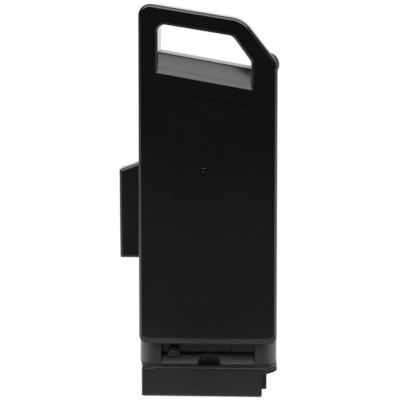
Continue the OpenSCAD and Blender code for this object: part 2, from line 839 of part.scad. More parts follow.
// Push button with a domed cap, a lip that stops it at rest and a short stem
module charge_button() {
    stem_low = switch_h + button_travel + press_gap - sleeve_l;
    lip_low = -seat_l - seat_gap - lip_t;
    edge = button_out - dome_h;
    dome_r = (button_r * button_r + dome_h * dome_h) / (2 * dome_h);
    color([0.11, 0.11, 0.115]) button_place() rotate_extrude() polygon(concat(
        [[0, stem_low], [stem_r, stem_low], [stem_r, lip_low], [button_r + lip_w, lip_low],
         [button_r + lip_w, lip_low + lip_t], [button_r, lip_low + lip_t]],
        [for (k = [0 : arc_steps]) let (x = button_r * (1 - k / arc_steps))
            [x, edge + dome_h - dome_r + sqrt(dome_r * dome_r - x * x)]]));
}

module button_switch() {
    color([0.3, 0.3, 0.32]) button_place()
        box([-switch_w / 2, -switch_w / 2, -sleeve_l], [switch_w / 2, switch_w / 2, switch_h - sleeve_l]);
}

module button_board() {
    color([0.1, 0.35, 0.2]) button_place()
        translate([0, 0, -sleeve_l - board_t]) cylinder(h = board_t, r = bezel_r);
}

// Window of the charge display, set in the narrow side across both shells
module display_cut(gap) {
    x1 = display_x + 2 * overrun;
    box([display_x - display_t - gap, -display_w / 2 - gap, display_z - display_l / 2 - gap],
        [x1, display_w / 2 + gap, display_z + display_l / 2 + gap]);
}

module display_window() {
    low = display_z - display_l / 2;
    high = display_z + display_l / 2;
    color([0.25, 0.25, 0.27]) drawn(-display_w / 2, display_w / 2)
        polygon([[display_x - display_t, low], [right_at(low), low], [right_at(high), high],
                 [display_x - display_t, high]]);
}

module display_leds() {
    x1 = display_x - display_t;
    color([0.4, 0.8, 0.45]) for (k = [0 : led_n - 1])
        let (z = display_z + (k - (led_n - 1) / 2) * display_l / led_n)
        box([x1 - led_t, -led_w / 2, z - led_w / 2], [x1, led_w / 2, z + led_w / 2]);
}

module display_board() {
    x1 = display_x - display_t - led_t;
    color([0.1, 0.35, 0.2]) box([x1 - board_t, -display_board_w / 2, display_z - display_l / 2],
                                [x1, display_board_w / 2, display_z + display_l / 2]);
}

module display_cable() {
    x1 = display_x - display_t - led_t - board_t;
    color([0.75, 0.75, 0.7]) box([bms_x + bms_w - lead_w, -led_w, bms_top],
                                 [x1, led_w, bms_top + harness_t / 2]);
}

// Cell holder on the panel side or, with side 1, on the back
module cell_holder(side) {
    y0 = side > 0 ? cell_l / 2 - holder_d : -cell_l / 2;
    difference() {
        union() {
            box([-pack_w / 2, y0, pack_z], [pack_w / 2, y0 + holder_d, pack_top]);
            for (x = [bms_x + 2 * post_r, bms_x + bms_w - 2 * post_r])
                translate([x, side * post_y, pack_top - overrun])
                    cylinder(h = post_h + overrun, r = post_r);
        }
        for (row = [0 : cell_rows - 1], col = [0 : cell_cols - 1])
            bar_y(cell_x(col), y0 - overrun, y0 + holder_d + overrun, cell_z(row),
                  cell_d / 2 + cell_gap);
    }
}
function cell_x(col) = (col - (cell_cols - 1) / 2) * cell_pitch;
function cell_z(row) = pack_z + holder_edge + (row + 1 / 2) * cell_pitch;

module cell_holder_front() {
    color([0.16, 0.16, 0.17]) cell_holder(-1);
}

module cell_holder_rear() {
    color([0.16, 0.16, 0.17]) cell_holder(1);
}

// One group of cells side by side
module cell_group(row) {
    color([0.15, 0.4, 0.7]) for (col = [0 : cell_cols - 1])
        bar_y(cell_x(col), -cell_l / 2, cell_l / 2, cell_z(row), cell_d / 2);
}

// Welded strips over the rows of cells, each joining two rows from row first on
module strips(side, first) {
    y0 = side > 0 ? cell_l / 2 : -sheet_y;
    reach = cell_x(cell_cols - 1) + strip_w / 2;
    color([0.75, 0.75, 0.76]) {
        for (row = [first : 2 : cell_rows - 2])
            box([-reach, y0, cell_z(row) - strip_w / 2],
                [reach, y0 + strip_t, cell_z(row + 1) + strip_w / 2]);
        if (first > 0) for (row = [0, cell_rows - 1])
            box([-reach, y0, cell_z(row) - strip_w / 2],
                [reach, y0 + strip_t, cell_z(row) + strip_w / 2]);
    }
}

module strips_front() {
    strips(-1, 0);
}

module strips_rear() {
    strips(1, 1);
}

module insulation_front() {
    color([0.85, 0.82, 0.6]) box([-pack_w / 2, -foam_y, pack_z], [pack_w / 2, -sheet_y, pack_top]);
}

module insulation_rear() {
    color([0.85, 0.82, 0.6]) box([-pack_w / 2, sheet_y, pack_z], [pack_w / 2, foam_y, pack_top]);
}

// Upright foam bars between the insulation sheets and the shells
module foam_front() {
    color([0.3, 0.3, 0.3]) for (s = [-1, 0, 1])
        box([s * pack_w / 3 - foam_w / 2, fit_gap - inner_y, pack_z],
            [s * pack_w / 3 + foam_w / 2, -foam_y - fit_gap, pack_top]);
}

module foam_rear() {
    color([0.3, 0.3, 0.3]) for (x = [(foam_w - pack_w) / 2, socket_x, (pack_w - foam_w) / 2])
        box([x - foam_w / 2, foam_y + fit_gap, pack_z],
            [x + foam_w / 2, inner_y - fit_gap, pack_top]);
}

module bms_board() {
    color([0.1, 0.35, 0.2]) box([bms_x, -bms_d / 2, bms_z], [bms_x + bms_w, bms_d / 2, bms_top]);
}

module bms_mosfets() {
    color([0.12, 0.12, 0.13]) for (k = [0 : fet_n - 1])
        box([fet_x + k * fet_pitch, fet_y - fet_d / 2, bms_top],
            [fet_x + k * fet_pitch + fet_w, fet_y + fet_d / 2, bms_top + fet_h]);
}

module bms_heatsink() {
    x1 = fet_x + fet_n * fet_pitch - (fet_pitch - fet_w);
    z0 = bms_top + fet_h;
    step = (fet_d - fin_t) / (fin_n - 1);
    color([0.75, 0.75, 0.77]) {
        box([fet_x, fet_y - fet_d / 2, z0], [x1, fet_y + fet_d / 2, z0 + sink_base]);
        for (k = [0 : 2 : fin_n - 1])
            box([fet_x, fet_y - fet_d / 2 + k * step, z0], [x1, fet_y - fet_d / 2 + k * step + fin_t,
                                                           z0 + sink_h]);
    }
}

module bms_capacitors() {
    color([0.2, 0.2, 0.35]) for (k = [0 : cap_n - 1])
        translate([fet_x + cap_r + k * cap_pitch, cap_y, bms_top]) cylinder(h = cap_h, r = cap_r);
}

module bms_chips() {
    x0 = fet_x + cap_n * cap_pitch + chip_w / 2;
    color([0.08, 0.08, 0.09]) for (k = [0, 1])
        box([x0 + k * chip_pitch, cap_y - chip_w / 2, bms_top],
            [x0 + k * chip_pitch + chip_w, cap_y + chip_w / 2, bms_top + chip_h]);
}

module fuse_holder() {
    color([0.1, 0.1, 0.1]) difference() {
        box([fuse_x - fuse_d / 2 - fuse_wall, fuse_y - fuse_w / 2 - fuse_wall, bms_top],
            [fuse_x + fuse_d / 2 + fuse_wall, fuse_y + fuse_w / 2 + fuse_wall,
             bms_top + fuse_base + fuse_deep]);
        box([fuse_x - fuse_d / 2 - seal_gap, fuse_y - fuse_w / 2 - seal_gap, bms_top + fuse_base],
            [fuse_x + fuse_d / 2 + seal_gap, fuse_y + fuse_w / 2 + seal_gap,
             bms_top + fuse_base + fuse_deep + overrun]);
    }
}

module main_fuse() {
    color([0.85, 0.3, 0.25]) box(
        [fuse_x - fuse_d / 2, fuse_y - fuse_w / 2, bms_top + fuse_base],
        [fuse_x + fuse_d / 2, fuse_y + fuse_w / 2, bms_top + fuse_base + fuse_h]);
}

// Flat lead from the board, down behind the cells and forward to a contact blade
module lead(x) {
    x0 = x - lead_w / 2;
    x1 = x + lead_w / 2;
    back = lead_y + lead_t;
    box([x0, lead_top_y, bms_top], [x1, back, bms_top + lead_t]);
    box([x0, lead_y, lead_low_z], [x1, back, bms_top + lead_t]);
    box([x0, lead_low_y, lead_low_z], [x1, back, lead_low_z + lead_t]);
    box([x0, lead_low_y, blade_top], [x1, lead_low_y + lead_t, lead_low_z + lead_t]);
    box([x0, -blade_t / 2, blade_top], [x1, lead_low_y + lead_t, blade_top + lead_t]);
}

module positive_lead() {
    color([0.7, 0.1, 0.1]) lead(socket_x - blade_x);
}

module negative_lead() {
    color([0.1, 0.1, 0.1]) lead(socket_x + blade_x);
}

module balance_harness() {
    back = lead_y + harness_t;
    mid = pack_z + pack_h / 2;
    color([0.75, 0.75, 0.7]) {
        box([-harness_w / 2 + harness_w, bms_d / 2 - plug_d / 2, bms_top],
            [harness_w / 2 + harness_w, back, bms_top + harness_t]);
        box([-harness_w / 2 + harness_w, lead_y, mid],
            [harness_w / 2 + harness_w, back, bms_top + harness_t]);
    }
}

module harness_plug() {
    color([0.85, 0.85, 0.82]) box(
        [harness_w - plug_w / 2, plug_y, bms_top],
        [harness_w + plug_w / 2, plug_y + plug_d, bms_top + plug_h]);
}

module thermistor() {
    color([0.15, 0.15, 0.15]) box([cell_x(cell_cols - 1) - bead_w / 2, -bead_d / 2 - post_y, pack_top],
                                  [cell_x(cell_cols - 1) + bead_w / 2, bead_d / 2 - post_y,
                                   pack_top + bead_h]);
}

module cell_group_1() {
    cell_group(0);
}

module cell_group_2() {
    cell_group(1);
}

module cell_group_3() {
    cell_group(2);
}

module cell_group_4() {
    cell_group(3);
}

module cell_group_5() {
    cell_group(4);
}

module cell_group_6() {
    cell_group(5);
}

module cell_group_7() {
    cell_group(6);
}

module cell_group_8() {
    cell_group(7);
}

module cell_group_9() {
    cell_group(8);
}

module cell_group_10() {
    cell_group(9);
}

front_shell();
rear_shell();
shell_seal();
shell_screws();
vent_plug();
guide_block();
block_screws();
lock_striker();
neck();
neck_screws();
neck_seal();
window_screw();
plinth();
plinth_screws();
key_tab();
connector_body();
power_blades();
signal_pins();
connector_seal();
button_bezel();
charge_button();
button_switch();
button_board();
display_window();
display_leds();
display_board();
display_cable();
cell_holder_front();
cell_holder_rear();
cell_group_1();
cell_group_2();
cell_group_3();
cell_group_4();
cell_group_5();
cell_group_6();
cell_group_7();
cell_group_8();
cell_group_9();
cell_group_10();
strips_front();
strips_rear();
insulation_front();
insulation_rear();
foam_front();
foam_rear();
bms_board();
bms_mosfets();
bms_heatsink();
bms_capacitors();
bms_chips();
fuse_holder();
main_fuse();
positive_lead();
negative_lead();
balance_harness();
harness_plug();
thermistor();
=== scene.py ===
import bmesh
import bpy
import math
import numpy as np
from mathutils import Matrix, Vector


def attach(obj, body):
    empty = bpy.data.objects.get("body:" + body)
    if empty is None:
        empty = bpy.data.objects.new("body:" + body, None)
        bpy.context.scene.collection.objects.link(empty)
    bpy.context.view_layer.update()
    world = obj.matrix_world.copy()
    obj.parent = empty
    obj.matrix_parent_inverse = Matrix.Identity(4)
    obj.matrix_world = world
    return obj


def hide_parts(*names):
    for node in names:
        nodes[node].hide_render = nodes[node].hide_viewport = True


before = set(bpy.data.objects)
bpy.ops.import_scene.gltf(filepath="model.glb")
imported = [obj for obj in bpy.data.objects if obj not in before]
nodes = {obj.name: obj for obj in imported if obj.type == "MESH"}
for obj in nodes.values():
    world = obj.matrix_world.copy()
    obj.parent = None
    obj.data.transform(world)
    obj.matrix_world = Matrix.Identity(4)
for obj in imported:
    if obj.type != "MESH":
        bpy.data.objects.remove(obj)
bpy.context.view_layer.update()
print("frame loaded:", len(nodes), "solids")

mm = 0.001
over = 1 * mm  # how far a cutter runs past what it cuts
fit = 0.15 * mm  # room round a piece in its bore
weldGap = 1e-7  # vertices nearer than this are one
nearlyAlong = 0.9  # share of an axis from which it counts as lying along Y
sharpAngle = 30  # edges bent by more degrees than this stay sharp
boreSteps = 64

camera = dict(azimuth=2.2, elevation=9.2, distance=1.2, target=(-0.00877, 0.0, 0.1846),
              focalPixels=1252.33, imagePixels=400, sensor=36)
az, el = math.radians(camera["azimuth"]), math.radians(camera["elevation"])
backward = Vector((math.sin(az) * math.cos(el), -math.cos(az) * math.cos(el), math.sin(el)))
cameraData = bpy.data.cameras.new("photoCamera")
cameraData.sensor_width = camera["sensor"]
cameraData.lens = camera["focalPixels"] / camera["imagePixels"] * camera["sensor"]
cameraObject = bpy.data.objects.new("photoCamera", cameraData)
cameraObject.location = Vector(camera["target"]) + backward * camera["distance"]
cameraObject.rotation_euler = (-backward).to_track_quat("-Z", "Y").to_euler()
bpy.context.scene.collection.objects.link(cameraObject)
bpy.context.scene.camera = cameraObject
print("camera placed")

def unitRows(v):  # each row divided by its length
    return v / np.linalg.norm(v, axis=1, keepdims=True)

def cornerFrame(p):  # half angle at each corner and the direction from it into the ring
    a, b = unitRows(np.roll(p, 1, 0) - p), unitRows(np.roll(p, -1, 0) - p)
    return np.arccos((a * b).sum(1)) / 2, unitRows(a + b)

def insetRing(points, amount):  # corner + bisector * amount / sin(half angle)
    p = np.asarray(points, float)
    half, into = cornerFrame(p)
    return p + into * (amount / np.sin(half))[:, None]

def roundRing(points, radii, steps=14):  # an arc of radius r at each corner, tangent to both sides
    p, r = np.asarray(points, float), np.broadcast_to(np.asarray(radii, float), len(points))
    half, into = cornerFrame(p)
    before, after = p - np.roll(p, 1, 0), np.roll(p, -1, 0) - p
    turn = np.sign(before[:, 0] * after[:, 1] - before[:, 1] * after[:, 0])  # -1 at an inward bend
    centre = p + into * (r / np.sin(half))[:, None]
    middle = np.arctan2(-into[:, 1], -into[:, 0])
    t = middle[:, None] + (turn * (math.pi / 2 - half))[:, None] * np.linspace(-1, 1, steps + 1)
    arc = centre[:, None] + r[:, None, None] * np.stack([np.cos(t), np.sin(t)], 2)
    return arc.reshape(-1, 2)

def facing(ring, y):  # ring seen from the panel side, set at depth y
    return np.stack([ring[:, 0], np.full(len(ring), y), ring[:, 1]], 1)

def lying(ring, z):  # ring seen from above, set at height z
    return np.stack([ring[:, 0], ring[:, 1], np.full(len(ring), z)], 1)

def sideways(ring, x):  # ring seen along X, set at x
    return np.stack([np.full(len(ring), x), ring[:, 0], ring[:, 1]], 1)

def quarter(radius, steps):  # inset and rise along a quarter circle, from the wall to the face
    a = np.linspace(0, math.pi / 2, steps + 1)
    return radius * (1 - np.cos(a)), radius * np.sin(a)

def makeObject(name, vertices, faces):  # doubles merged, faces turned outwards
    mesh = bpy.data.meshes.new(name)
    mesh.from_pydata(np.asarray(vertices).tolist(), [], faces)
    shape = bmesh.new()
    shape.from_mesh(mesh)
    bmesh.ops.remove_doubles(shape, verts=shape.verts, dist=weldGap)
    bmesh.ops.recalc_face_normals(shape, faces=shape.faces)
    shape.to_mesh(mesh)
    shape.free()
    made = bpy.data.objects.new(name, mesh)
    bpy.context.scene.collection.objects.link(made)
    return made

def loft(name, rings, closed=False):  # quads between neighbouring rings, and a cap on each open end
    grid = np.asarray(rings, float)
    m, n = grid.shape[:2]
    index = np.arange(m * n).reshape(m, n)
    low = index if closed else index[:-1]
    high = np.roll(index, -1, 0) if closed else index[1:]
    quads = np.stack([low, np.roll(low, -1, 1), np.roll(high, -1, 1), high], 2).reshape(-1, 4).tolist()
    if not closed:
        quads += [index[0][::-1].tolist(), index[-1].tolist()]
    return makeObject(name, grid.reshape(-1, 3), quads)

# a profile of (r, h) turned about the axis: origin + axis * h + r * (cos t, sin t) across it
def spun(name, profile, origin, axis, steps=96, closed=False):
    p, w = np.asarray(profile, float), np.asarray(axis, float) / np.linalg.norm(axis)
    u = np.cross(w, (0, 1, 0) if abs(w[1]) < nearlyAlong else (1, 0, 0))
    u /= np.linalg.norm(u)
    v = np.cross(w, u)
    t = np.linspace(0, 2 * math.pi, steps, endpoint=False)
    circle = np.cos(t)[:, None] * u + np.sin(t)[:, None] * v
    grid = np.asarray(origin, float) + p[:, None, :1] * circle + (p[:, 1:2] * w)[:, None]
    return loft(name, grid, closed)

def boxShape(name, low, high):  # block between two opposite corners
    ring = [[low[0], low[1]], [high[0], low[1]], [high[0], high[1]], [low[0], high[1]]]
    return loft(name, [lying(np.array(ring), low[2]), lying(np.array(ring), high[2])])

def combine(target, tools, kind="DIFFERENCE"):  # the tools cut, join or keep only what they share
    for tool in tools:
        modifier = target.modifiers.new(kind, "BOOLEAN")
        modifier.object, modifier.operation, modifier.solver = tool, kind, "EXACT"
        graph = bpy.context.evaluated_depsgraph_get()
        made = bpy.data.meshes.new_from_object(target.evaluated_get(graph))
        target.modifiers.clear()
        old, target.data = target.data, made
        bpy.data.meshes.remove(old)
    for tool in tools:
        bpy.data.objects.remove(tool)

def copyOf(source, name):  # a tool that is used up while its source stays
    made = bpy.data.objects.new(name, source.data.copy())
    bpy.context.scene.collection.objects.link(made)
    return made

def dress(piece, body, material, replaced):  # shading, finish, body and solids stood for
    piece.data.shade_smooth()
    piece.data.set_sharp_from_angle(angle=math.radians(sharpAngle))
    level = piece.modifiers.new("evenNormals", "WEIGHTED_NORMAL")
    level.keep_sharp = True
    piece.data.materials.clear()
    piece.data.materials.append(material)
    piece.data.name = piece.name
    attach(piece, body)
    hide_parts(*replaced)

def newGroup(name, inputs, outputs):  # node group with named sockets
    tree = bpy.data.node_groups.new(name, "ShaderNodeTree")
    for label, kind in inputs:
        tree.interface.new_socket(name=label, in_out="INPUT", socket_type=kind)
    for label in outputs:
        tree.interface.new_socket(name=label, in_out="OUTPUT", socket_type="NodeSocketFloat")
    return tree, tree.nodes.new("NodeGroupInput"), tree.nodes.new("NodeGroupOutput")

def ranged(tree, value, low, high, toLow, toHigh):  # low to high becomes toLow to toHigh, held past the ends
    node = tree.nodes.new("ShaderNodeMapRange")
    node.inputs["From Min"].default_value, node.inputs["From Max"].default_value = low, high
    node.inputs["To Min"].default_value, node.inputs["To Max"].default_value = toLow, toHigh
    tree.links.new(value, node.inputs["Value"])
    return node.outputs["Result"]

def maths(tree, operation, a, b):  # a and b are sockets or numbers
    node = tree.nodes.new("ShaderNodeMath")
    node.operation = operation
    for socket, value in zip(node.inputs, (a, b)):
        if hasattr(value, "links"):
            tree.links.new(value, socket)
        else:
            socket.default_value = value
    return node.outputs[0]

def noise(tree, vector, scale, detail=2.0, roughness=0.5):
    node = tree.nodes.new("ShaderNodeTexNoise")
    node.inputs["Detail"].default_value, node.inputs["Roughness"].default_value = detail, roughness
    tree.links.new(vector, node.inputs["Vector"])
    tree.links.new(scale, node.inputs["Scale"])
    return node.outputs[0]

vectorScale = [("Vector", "NodeSocketVector"), ("Scale", "NodeSocketFloat")]
effects = dict(fineDetail=3.0, fineRoughness=0.6, fineShare=0.6, cellShare=0.5, driftRange=(0.35, 0.65),
               driftShare=0.7, rubStretch=(1.0, 1.0, 0.06), rubFiner=12.0, rubDetail=1.0,
               rubRange=(0.62, 0.72), rubWhere=(0.5, 0.7), rubScale=25)

def grainGroup():  # moulded grain: fine noise with the rims of small cells sunk into it
    tree, start, end = newGroup("mouldedGrain", vectorScale, ["Height"])
    cells = tree.nodes.new("ShaderNodeTexVoronoi")
    tree.links.new(start.outputs["Vector"], cells.inputs["Vector"])
    tree.links.new(start.outputs["Scale"], cells.inputs["Scale"])
    fine = noise(tree, start.outputs["Vector"], start.outputs["Scale"], effects["fineDetail"],
                 effects["fineRoughness"])
    fine = maths(tree, "MULTIPLY", fine, effects["fineShare"])
    rims = maths(tree, "MULTIPLY", cells.outputs["Distance"], effects["cellShare"])
    tree.links.new(maths(tree, "ADD", fine, rims), end.inputs["Height"])
    return tree

def driftGroup():  # slow drift of tone over the surface, 0 to 1
    tree, start, end = newGroup("toneDrift", vectorScale, ["Drift"])
    slow = noise(tree, start.outputs["Vector"], start.outputs["Scale"])
    tree.links.new(ranged(tree, slow, *effects["driftRange"], 0.0, 1.0), end.inputs["Drift"])
    return tree

def rubGroup():  # faint rub marks: thin streaks of stretched noise where a slower noise lets them through
    tree, start, end = newGroup("rubMarks", vectorScale, ["Marks"])
    stretch = tree.nodes.new("ShaderNodeVectorMath")
    stretch.operation = "MULTIPLY"
    stretch.inputs[1].default_value = effects["rubStretch"]
    tree.links.new(start.outputs["Vector"], stretch.inputs[0])
    finer = maths(tree, "MULTIPLY", start.outputs["Scale"], effects["rubFiner"])
    streak = noise(tree, stretch.outputs[0], finer, effects["rubDetail"])
    streak = ranged(tree, streak, *effects["rubRange"], 0.0, 1.0)
    where = noise(tree, start.outputs["Vector"], start.outputs["Scale"])
    where = ranged(tree, where, *effects["rubWhere"], 0.0, 1.0)
    tree.links.new(maths(tree, "MULTIPLY", streak, where), end.inputs["Marks"])
    return tree

mouldedGrain, toneDrift, rubMarks = grainGroup(), driftGroup(), rubGroup()

def useGroup(tree, group, vector, scale):  # a shared effect in one material
    node = tree.nodes.new("ShaderNodeGroup")
    node.node_tree = group
    node.inputs["Scale"].default_value = scale
    tree.links.new(vector, node.inputs["Vector"])
    return node.outputs[0]

# dark and light colour drift into each other, rub marks polish, grain lifts the surface
def surface(name, dark, light, rough=0.5, roughSpread=0.06, driftScale=18, grainScale=1400,
            grainDepth=0.00002, rub=0.05, metal=0.0, specular=0.5, coat=0.0, coatRough=0.2,
            stretch=(1, 1, 1)):
    material = bpy.data.materials.new(name)
    material.use_nodes = True
    tree = material.node_tree
    shader = tree.nodes["Principled BSDF"]
    mapping = tree.nodes.new("ShaderNodeMapping")
    mapping.inputs["Scale"].default_value = stretch
    tree.links.new(tree.nodes.new("ShaderNodeTexCoord").outputs["Object"], mapping.inputs["Vector"])
    where = mapping.outputs["Vector"]
    drift = useGroup(tree, toneDrift, where, driftScale)
    marks = useGroup(tree, rubMarks, where, effects["rubScale"])
    grain = useGroup(tree, mouldedGrain, where, grainScale)
    blend = tree.nodes.new("ShaderNodeMix")
    blend.data_type = "RGBA"
    blend.inputs["A"].default_value, blend.inputs["B"].default_value = (*dark, 1), (*light, 1)
    tone = maths(tree, "ADD", maths(tree, "MULTIPLY", drift, effects["driftShare"]),
                 maths(tree, "MULTIPLY", grain, 1 - effects["driftShare"]))
    tree.links.new(tone, blend.inputs["Factor"])
    tree.links.new(blend.outputs["Result"], shader.inputs["Base Color"])
    polish = maths(tree, "MULTIPLY", marks, -rub)
    uneven = ranged(tree, drift, 0, 1, rough - roughSpread, rough + roughSpread)
    tree.links.new(maths(tree, "ADD", uneven, polish), shader.inputs["Roughness"])
    bump = tree.nodes.new("ShaderNodeBump")
    bump.inputs["Distance"].default_value = grainDepth
    bump.inputs["Strength"].default_value = 1.0
    tree.links.new(grain, bump.inputs["Height"])
    tree.links.new(bump.outputs["Normal"], shader.inputs["Normal"])
    shader.inputs["Metallic"].default_value = metal
    shader.inputs["Specular IOR Level"].default_value = specular
    shader.inputs["Coat Weight"].default_value = coat
    shader.inputs["Coat Roughness"].default_value = coatRough
    return material

caseBlack = surface("caseBlack", (0.002, 0.002, 0.0022), (0.003, 0.003, 0.0032), rough=0.3, roughSpread=0.03,
                    coat=1.0, coatRough=0.2)
gripBlack = surface("gripBlack", (0.006, 0.006, 0.0063), (0.009, 0.009, 0.0094), rough=0.45, roughSpread=0.03,
                    coat=0.76, coatRough=0.22)
waistBlack = surface("waistBlack", (0.036, 0.036, 0.037), (0.046, 0.046, 0.047), rough=0.4, coat=0.7,
                     coatRough=0.25)
# painted light: a lighter copy of the waist's finish, for the up-facing faces of the window's floor where
# light falls
rampPaintedLight = surface("rampPaintedLight", (0.068, 0.068, 0.069), (0.082, 0.082, 0.083), rough=0.5, coat=0.3,
                    coatRough=0.35)
plinthBlack = surface("plinthBlack", (0.012, 0.012, 0.0125), (0.018, 0.018, 0.0185), rough=0.42, coat=0.3,
                      coatRough=0.25)
blockBlack = surface("blockBlack", (0.004, 0.004, 0.0045), (0.006, 0.006, 0.0065), rough=0.34, coat=0.8,
                     coatRough=0.2)
buttonBlack = surface("buttonBlack", (0.009, 0.009, 0.01), (0.013, 0.013, 0.014), rough=0.38, grainScale=2200)
bezelBlack = surface("bezelBlack", (0.005, 0.005, 0.0055), (0.007, 0.007, 0.0075), rough=0.34,
                     grainScale=2200)
sealRubber = surface("sealRubber", (0.016, 0.016, 0.016), (0.03, 0.03, 0.03), rough=0.75, specular=0.3)
screwZinc = surface("screwZinc", (0.09, 0.09, 0.095), (0.17, 0.17, 0.175), rough=0.36, metal=1.0,
                    grainScale=3000, grainDepth=0.000006)
turnedSteel = surface("turnedSteel", (0.40, 0.40, 0.42), (0.55, 0.55, 0.57), rough=0.26, metal=1.0,
                      grainScale=2600, grainDepth=0.000008, stretch=(1, 0.1, 0.1))
brassContact = surface("brassContact", (0.60, 0.44, 0.17), (0.78, 0.60, 0.28), rough=0.24, metal=1.0,
                       grainScale=2600, grainDepth=0.000005, stretch=(1, 1, 0.1))
connectorBlack = surface("connectorBlack", (0.012, 0.012, 0.012), (0.02, 0.02, 0.02), rough=0.5)
smokedWindow = surface("smokedWindow", (0.012, 0.012, 0.014), (0.02, 0.02, 0.023), rough=0.12,
                       roughSpread=0.02, grainDepth=0.000002, coat=0.4, coatRough=0.08)
ledLens = surface("ledLens", (0.40, 0.62, 0.40), (0.55, 0.80, 0.52), rough=0.3, grainDepth=0.000004)
boardLacquer = surface("boardLacquer", (0.008, 0.075, 0.03), (0.02, 0.13, 0.055), rough=0.3, driftScale=60,
                       grainScale=900, grainDepth=0.00001, coat=0.5, coatRough=0.15)
partBlack = surface("partBlack", (0.016, 0.016, 0.017), (0.028, 0.028, 0.03), rough=0.55)
canSleeve = surface("canSleeve", (0.03, 0.03, 0.12), (0.05, 0.05, 0.2), rough=0.4, grainDepth=0.000008)
ribbonGrey = surface("ribbonGrey", (0.36, 0.36, 0.34), (0.5, 0.5, 0.47), rough=0.5, grainScale=800,
                     stretch=(1, 1, 0.05))
holderGrey = surface("holderGrey", (0.03, 0.03, 0.033), (0.05, 0.05, 0.055), rough=0.55)
cellSleeve = surface("cellSleeve", (0.02, 0.09, 0.30), (0.04, 0.15, 0.42), rough=0.34, driftScale=40,
                     grainScale=500, coat=0.3)
nickelStrip = surface("nickelStrip", (0.50, 0.49, 0.47), (0.66, 0.65, 0.62), rough=0.3, metal=1.0,
                      grainScale=1800, grainDepth=0.00001, stretch=(0.1, 1, 1))
pressPaper = surface("pressPaper", (0.50, 0.44, 0.24), (0.66, 0.60, 0.36), rough=0.8, grainScale=500,
                     grainDepth=0.00005, rub=0.0)
foamGrey = surface("foamGrey", (0.03, 0.03, 0.03), (0.07, 0.07, 0.07), rough=0.9, grainScale=900,
                   grainDepth=0.0002, rub=0.0, specular=0.2)
finAluminium = surface("finAluminium", (0.55, 0.55, 0.56), (0.7, 0.7, 0.71), rough=0.35, metal=1.0,
                       grainScale=1500, grainDepth=0.00001, stretch=(1, 0.1, 1))
fuseRed = surface("fuseRed", (0.35, 0.02, 0.015), (0.5, 0.05, 0.03), rough=0.25, grainDepth=0.000004,
                  coat=0.3)
sleeveRed = surface("sleeveRed", (0.28, 0.015, 0.012), (0.4, 0.03, 0.02), rough=0.45, grainScale=700)
sleeveBlack = surface("sleeveBlack", (0.012, 0.012, 0.012), (0.022, 0.022, 0.022), rough=0.45, grainScale=700)
print("finishes made")

finishOf = dict(
    shell_seal=sealRubber, neck_seal=sealRubber, connector_seal=sealRubber,
    shell_screws=screwZinc, block_screws=screwZinc, neck_screws=screwZinc, window_screw=screwZinc,
    plinth_screws=screwZinc, vent_plug=caseBlack, front_shell=caseBlack, rear_shell=caseBlack,
    guide_block=blockBlack, lock_striker=turnedSteel, neck=waistBlack, plinth=plinthBlack,
    key_tab=plinthBlack, connector_body=connectorBlack, power_blades=brassContact, signal_pins=brassContact,
    button_bezel=bezelBlack, charge_button=buttonBlack, button_switch=partBlack, button_board=boardLacquer,
    display_window=smokedWindow, display_leds=ledLens, display_board=boardLacquer, display_cable=ribbonGrey,
    cell_holder_front=holderGrey, cell_holder_rear=holderGrey, strips_front=nickelStrip,
    strips_rear=nickelStrip, insulation_front=pressPaper, insulation_rear=pressPaper,
    foam_front=foamGrey, foam_rear=foamGrey, bms_board=boardLacquer, bms_mosfets=partBlack,
    bms_heatsink=finAluminium, bms_capacitors=canSleeve, bms_chips=partBlack, fuse_holder=partBlack,
    main_fuse=fuseRed, positive_lead=sleeveRed, negative_lead=sleeveBlack, balance_harness=ribbonGrey,
    harness_plug=ribbonGrey, thermistor=partBlack)
for name, part in nodes.items():
    part.data.materials.clear()
    part.data.materials.append(cellSleeve if name.startswith("cell_group") else finishOf[name])

# radii of the casing's and the opening's outlines are in millimetres, from the lower left corner on
casing = dict(halfLow=65.0 * mm, halfWidth=63.5 * mm, bottom=53.0 * mm, shoulder=317.2 * mm,
              cornerRun=31.4 * mm, cornerSlope=51.5, topSlope=9.3, radii=(8.0, 8.0, 16.0, 26.0, 10.5),
              edge=2.6 * mm, edgeDepth=2.5 * mm, edgeFlatness=1.6, edgeSteps=11, foot=6 * mm,
              halfDepth=39.6 * mm, wall=2.8 * mm, seam=0.45 * mm,
              slot=((59.17 * mm, -3.15 * mm, 265.65 * mm), (68 * mm, 3.15 * mm, 291.95 * mm)))
bendX = casing["halfWidth"] - casing["cornerRun"]
bendZ = casing["shoulder"] + casing["cornerRun"] * math.tan(math.radians(casing["cornerSlope"]))
topTan = math.tan(math.radians(casing["topSlope"]))
crownZ = bendZ + (bendX + casing["halfWidth"]) * topTan
caseCorners = np.array([[-casing["halfLow"], casing["bottom"]], [casing["halfLow"], casing["bottom"]],
                        [casing["halfWidth"], casing["shoulder"]], [bendX, bendZ],
                        [-casing["halfWidth"], crownZ]])
caseRadii = np.array(casing["radii"]) * mm
innerDepth = casing["halfDepth"] - casing["wall"]

def caseRing(amount, lift=0.0):  # lift raises the two lower corners
    raised = caseCorners + np.array([[0, lift]] * 2 + [[0, 0]] * 3)
    return roundRing(insetRing(raised, amount), np.maximum(caseRadii - amount, casing["edge"] / 2))

def caseBlock(name, side):  # from the seam chamfer along the side, over the bevelled edge, to the flat panel
    a = np.linspace(0, math.pi / 2, casing["edgeSteps"])
    inset = casing["edge"] * (1 - np.cos(a) ** casing["edgeFlatness"])
    depth = casing["halfDepth"] - casing["edgeDepth"] * (1 - np.sin(a) ** casing["edgeFlatness"])
    amounts = np.concatenate([[casing["seam"], 0.0], inset])
    depths = np.concatenate([[0.0, casing["seam"]], depth])
    taller = np.concatenate([[0.0, 0.0], inset * (casing["foot"] / casing["edge"] - 1)])
    return loft(name, [facing(caseRing(a, lift), side * y) for a, lift, y in zip(amounts, taller, depths)])

